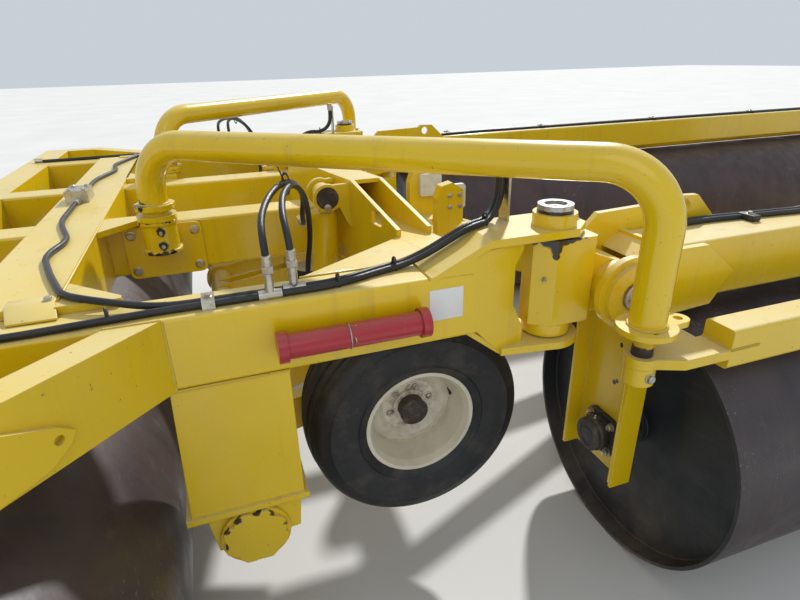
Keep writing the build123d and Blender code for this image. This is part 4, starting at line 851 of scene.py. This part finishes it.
def wing_welds(side):
    """Weld beads on the wing's tubes, root frame and posts."""
    far, near = WING_TUBE
    low, top = WING_BOTTOM, WING_TOP
    side_tube, post_low, post_top, half = 1618, 1121, 1144, 38
    lines = []
    for x in (WING_ROOT, WING_END):
        lines += [((x, near, low), (x, near, top)), ((x, far, low), (x, far, top)),
                  ((x, far, top), (x, near, top))]
    lines += [((WING_ROOT, far, low), (WING_ROOT, near, low)),
              ((2107, side_tube, 1085), (2107, 1720, 1085)), ((2107, 1720, 1085), (2217, 1720, 1085)),
              ((1994, 1462, 410), (1994, 1462, 1058)), ((2060, 1462, 410), (2060, 1462, 1058)),
              ((2060, 1190, 410), (2060, 1190, 1058))]
    for i in (1, 2, 3):
        post = WING_DRUM_START + WING_DRUM_LENGTH / 4 * i
        for y in (near, side_tube):
            lines += [((post + dx, y, post_low), (post + dx, y, post_top)) for dx in (-half, half)]
            lines.append(((post - half, y, post_top), (post + half, y, post_top)))
    lines = [mirrored(line, SIDES[side]) for line in lines]
    weld(f"wing_welds_{side}", f"wing_{side}", lines, paints["weld"])


def round_weld(name, body, radius, where, way, size, paint):
    """Weld bead round a pipe, shaft or drum end."""
    bead = ring(name, radius, size, max(40, int(radius * 2.6 / size)), 8)
    take(bead)
    ripple = bpy.data.textures.get("ripple") or bpy.data.textures.new("ripple", "CLOUDS")
    ripple.noise_scale = 0.012
    lumps = bead.modifiers.new("lumps", "DISPLACE")
    lumps.texture = ripple
    lumps.strength = size * 0.0006
    bpy.ops.object.modifier_apply(modifier="lumps")
    put(bead, at(*where), way)
    ready(bead, body, paint, 60)


def drum_end_welds(name, boss_name, drum, where, way, paint):
    """Beads where a drum's end plate meets its shell and its boss."""
    round_weld(name, drum, DRUM_SHELL_BEAD_R, where, way, 6, paint)
    round_weld(boss_name, drum, DRUM_BOSS_R, where, way, 5, paint)


def round_welds():
    """Beads on the braces and the drums' ends."""
    up, pipe, flange_top, collar_top = (0, 0, 1), 52, 1179, 1411
    for side, s in SIDES.items():
        flange = (BRACE_PIN[0], s * BRACE_PIN[1], flange_top)
        round_weld(f"flange_weld_{side}", f"brace_{side}", pipe, flange, up, 5, paints["weld"])
        collar = (BRACE_FOOT[0], s * BRACE_FOOT[1], collar_top)
        round_weld(f"collar_weld_{side}", f"brace_{side}", pipe, collar, up, 4.5, paints["weld"])
        for i, x in enumerate(WING_DRUM_ENDS):
            way = (-1, 0, 0) if i == 0 else (1, 0, 0)
            drum_end_welds(f"drum_weld_{i}_{side}", f"drum_boss_weld_{i}_{side}", f"wing_drum_{side}",
                           (x, s * WING_AXIS, DRUM_R), way, paints[f"drum_{side}"])
        drum_end_welds(f"centre_drum_weld_{side}", f"centre_boss_weld_{side}", "centre_drum",
                       (0, s * CENTRE_DRUM_END, DRUM_R), (0, s, 0), paints["centre_drum"])


def label_plate():
    """Bare plate on the near rail."""
    thick = 1.6
    plate = bar("label_plate", (1297, -RAIL_FACE - thick, 1180), (1403, -RAIL_FACE, 1277), 0.7)
    ready(plate, "centre_frame", paints["label"])


def pick_outside(obj, y):
    """Selects what of a piece lies further from the machine's middle plane than y, in mm."""
    corners = obj.data.vertices
    for corner in corners:
        corner.select = abs(corner.co.y) > y / 1000
    for group in (obj.data.edges, obj.data.polygons):
        for item in group:
            item.select = all(corners[i].select for i in item.vertices)


def hose_cover(side):
    """Plate on the wide beam's end, folded down onto the rail."""
    s = SIDES[side]
    fold, low, top = 1244, 1335, 1341
    drop = (0.012, 0, -0.0205)
    guard = bar(f"hose_guard_{side}", (238, s * 1196, low), (350, s * 1304, top), 1.5)
    bpy.ops.object.mode_set(mode="EDIT")
    bpy.ops.mesh.select_all(action="SELECT")
    bpy.ops.mesh.bisect(plane_co=at(0, s * fold, 0), plane_no=(0, 1, 0))
    bpy.ops.object.mode_set(mode="OBJECT")
    pick_outside(guard, fold + 1)
    bpy.ops.object.mode_set(mode="EDIT")
    bpy.ops.transform.translate(value=drop)
    bpy.ops.object.mode_set(mode="OBJECT")
    ready(guard, "centre_frame", paints["frame"])
    fasten(f"hose_guard_bolt_{side}", "bolt", "centre_frame",
           [((332, s * 1226, top), (0, 0, 1))], paints["bolt"], size=0.7)


def pin_ends(side):
    """Black cup in the lift pin's recess as painted shade of an open bore, plug in the tube of the fold
    pin and worn ring on the float pin.
    """
    s = SIDES[side]
    # The black cup lines the recess round the lift pin's end, with its rim on the lug: painted shade that
    # makes the recess look like a deep dark bore
    end = turned(f"lift_bore_painted_shade_{side}", [(44, -0.3), (44, 0.8), (41, 1.2), (34, 0.8), (33.4, -2),
                                          (32, -11), (14, -11.6), (6, -11.6)], 40)
    put(end, at(*mirrored(LIFT_PIN, s)), (0, s, 0))
    ready(end, "centre_frame", paints["hub"])
    plug = turned(f"fold_pin_plug_{side}", [(33.9, -8), (33.9, 0), (32.5, 1), (11, 1), (9, -2),
                                            (2, -2)], 40)
    put(plug, at(FOLD[0], s * FOLD[1], 1455))
    ready(plug, "centre_frame", paints["worn"])
    collar = turned(f"float_pin_ring_{side}", [(45.6, -0.5), (45.6, 1.5), (44, 2.6), (37, 2.6),
                                               (35, 0.4), (31, 0.4), (30, 1.4), (8, 1.4), (6, 0.2)], 48)
    put(collar, at(FLOAT[0], s * FLOAT_END, FLOAT[1]), (0, s, 0))
    ready(collar, f"wing_{side}", paints["worn"])


def loop_tie(side):
    """Cable tie that holds the two lift hoses together at their top, with its tail."""
    s = SIDES[side]
    band = ring(f"loop_tie_{side}", 11.2, 1.7, 32, 6, (1.0, 2.75, 2.2))
    put(band, at(972, s * 1080, 1547), (0.42, -s, 0.02))
    tail = turned("tie_tail", [(2.2, 0), (2.4, 30), (1.4, 52)], 8)
    put(tail, at(968, s * 1086, 1556), (-0.35, 0.25 * s, 0.9))
    ready(merge(f"loop_tie_{side}", [band, tail]), "centre_frame", paints["tie"])


def manifold_trim():
    """Bolts and hose nuts on the valve block over the wide beam."""
    block_top, half_block, hose_height = 1387, 66, 1344.8
    corners = [(x, y, block_top) for x in (183, 237) for y in (-44, 44)]
    fasten("manifold_bolts", "bolt", "centre_frame", [(spot, (0, 0, 1)) for spot in corners],
           paints["bolt"], size=0.6)
    for i, way in enumerate((-1, 1)):
        hose_end(f"manifold_nut_{i}", "centre_frame", (210, way * half_block, hose_height), (0, way, 0))


def jack_crank():
    """Crank on the parking jack's head."""
    x, y, z = JACK_HEAD
    shaft = turned("jack_crank", [(14, 0), (14, 8), (9, 10), (9, 34), (7, 36)], 16)
    put(shaft, at(x, y, z))
    arm = bar("arm", (x - 8, y - 8, z + 20), (x + 150, y + 8, z + 28), 3)
    grip = turned("grip", [(6, -2), (6, 10), (12, 12), (14, 30), (13, 70), (10, 88), (6, 92)], 16)
    put(grip, at(x + 140, y, z + 26))
    ready(merge("jack_crank", [shaft, arm, grip]), "jack", paints["bolt"])


# The scene
camera()
floor()
light()
bpy.context.scene.view_settings.view_transform = "Standard"

paints = {
    "frame": enamel("frame_enamel", YELLOW, YELLOW_SHADE),
    "wing": enamel("wing_enamel", YELLOW, YELLOW_SHADE, dust=0.75),
    "clean": enamel("smooth_enamel", YELLOW, YELLOW_SHADE, dust=0.35, chip=0.4, gloss=0.18, smear=0.06),
    "sleeve": enamel("sleeve_enamel", YELLOW, YELLOW_SHADE, bands=[(1352, 1360)],
                     blots=[(564, 612, 1314, 20), (564, 612, 1262, 20), (514, 600, 1226, 17),
                            (540, 613, 1223, 18), (566, 614, 1223, 20), (594, 604, 1225, 18)]),
    "cap": enamel("cap_enamel", YELLOW, YELLOW_SHADE,
                  blots=[(*spot, 15) for spot in around(*LEG_CAP, 93)]),
    "hanger": enamel("hanger_enamel", YELLOW, YELLOW_SHADE, dust=0.75,
                     blots=[(2060, 1341, 762, 10), (2060, 1356, 774, 8), (2060, 1350, 923, 8)]),
    "brace": enamel("brace_enamel", YELLOW, YELLOW_SHADE, dust=0.35, chip=0.5, gloss=0.18, smear=0.06,
                    blots=[(505, 560, 1408, 26), (520, 590, 1406, 20), (1845, 1692, 1164, 16)]),
    "block": enamel("block_enamel", YELLOW, YELLOW_SHADE,
                    blots=[(1655, 1358, 1372, 22), (1685, 1378, 1371, 26), (1708, 1396, 1368, 33),
                           (1711, 1399, 1342, 19), (1711, 1399, 1323, 11), (1738, 1400, 1371, 22),
                           (1762, 1400, 1372, 17), (1786, 1400, 1373, 13), (1808, 1399, 1374, 10)]),
    "fold_pin": enamel("fold_pin_enamel", YELLOW, YELLOW_SHADE, dust=0.2, bare_above=1450),
    "weld": enamel("weld_enamel", (0.72, 0.49, 0.008), (0.58, 0.40, 0.01),
                   dust=0.4, chip=0.9, gloss=0.4),
    "centre_drum": drum_paint("centre_drum_steel", "Y", 0),
    "drum_right": drum_paint("right_drum_steel", "X", -WING_AXIS),
    "drum_left": drum_paint("left_drum_steel", "X", WING_AXIS,
                            dark=(0.040, 0.024, 0.027), light=(0.070, 0.036, 0.036)),
    "tyre": rubber("tyre_rubber_dusty", dust=0.34),
    "hose": rubber("hose_rubber_black", dust=0.10, grain=400, rough=0.36),
    "rim": rim_enamel("rim_cream"),
    "stop": enamel("stop_red", (0.40, 0.006, 0.018), (0.30, 0.006, 0.016),
                   dust=0.12, chip=0.3, gloss=0.30, smear=0.02),
    "pin": bare_steel("pin_rusty", rust=0.9, painted_pin=True),
    "worn": bare_steel("worn_steel", rust=0.25, colour=(0.52, 0.52, 0.52), metal=0.8, rough=0.34),
    "bolt": zinc("bolt_zinc"),
    "fitting": zinc("fitting_zinc_dull"),
    "bearing": dull("bearing_black", (0.022, 0.022, 0.024), (0.045, 0.042, 0.040),
                    rough=0.5, dust=0.45, scale=26),
    "hub": dull("hub_black", (0.018, 0.017, 0.016), (0.06, 0.035, 0.022), rough=0.6, dust=0.4, scale=60),
    "pad": dull("pad_white", (0.74, 0.73, 0.68), (0.62, 0.60, 0.54), rough=0.55, dust=0.3, scale=30),
    "label": dull("label_white", (0.80, 0.80, 0.78), (0.74, 0.74, 0.71),
                  rough=0.35, dust=0.12, scale=9, depth=0.0001),
    "chrome": bare_steel("rod_polished", rust=0.0, colour=(0.70, 0.70, 0.71), metal=1.0, rough=0.12),
    "tie": dull("tie_black", (0.012, 0.012, 0.012), (0.03, 0.03, 0.03), rough=0.5, dust=0.2, scale=80),
}

for side in SIDES:
    for which in ("upper", "lower"):
        lift_hose(which, side, paints["hose"])

# Paint of each CAD piece: by its slot, and by its name where it has marks of its own
SLOT_PAINT = {"frame_paint": "frame", "drum_steel": "centre_drum", "rim_paint": "rim",
              "tyre_rubber": "tyre", "stop_paint": "stop", "pin_steel": "pin",
              "bearing_iron": "bearing", "pad_plastic": "pad", "cylinder_paint": "clean",
              "rod_chrome": "chrome", "hose_rubber": "hose", "fitting_zinc": "fitting"}
NODE_PAINT = {"brace_sleeves": "sleeve", "fold_pins": "fold_pin", "axle_leg_caps": "cap"}
for side in SIDES:
    NODE_PAINT[f"wing_drum_{side}"] = f"drum_{side}"
    NODE_PAINT[f"brace_pipe_{side}"] = "brace"
    NODE_PAINT[f"hinge_block_{side}"] = "block"
    NODE_PAINT[f"wing_root_frame_{side}"] = "hanger"
for sub in frame["record"]["subparts"]:
    name = sub["node"]
    chosen = NODE_PAINT.get(name, SLOT_PAINT[sub["material_slot"]])
    if name.startswith("wing_") and chosen == "frame":
        chosen = "wing"
    for spot in nodes[name].material_slots:
        spot.material = paints[chosen]

fastener_patterns()
for side in SIDES:
    ribbed_tyre(side)
    wheel_trim(side)
    hose_trim(side)
    stop_trim(side)
    bolts_on_plates(side)
    frame_welds(side)
    wing_welds(side)
    hose_cover(side)
    pin_ends(side)
    loop_tie(side)
bearings()
round_welds()
label_plate()
manifold_trim()
jack_crank()
for pattern in patterns.values():
    bpy.data.objects.remove(pattern)
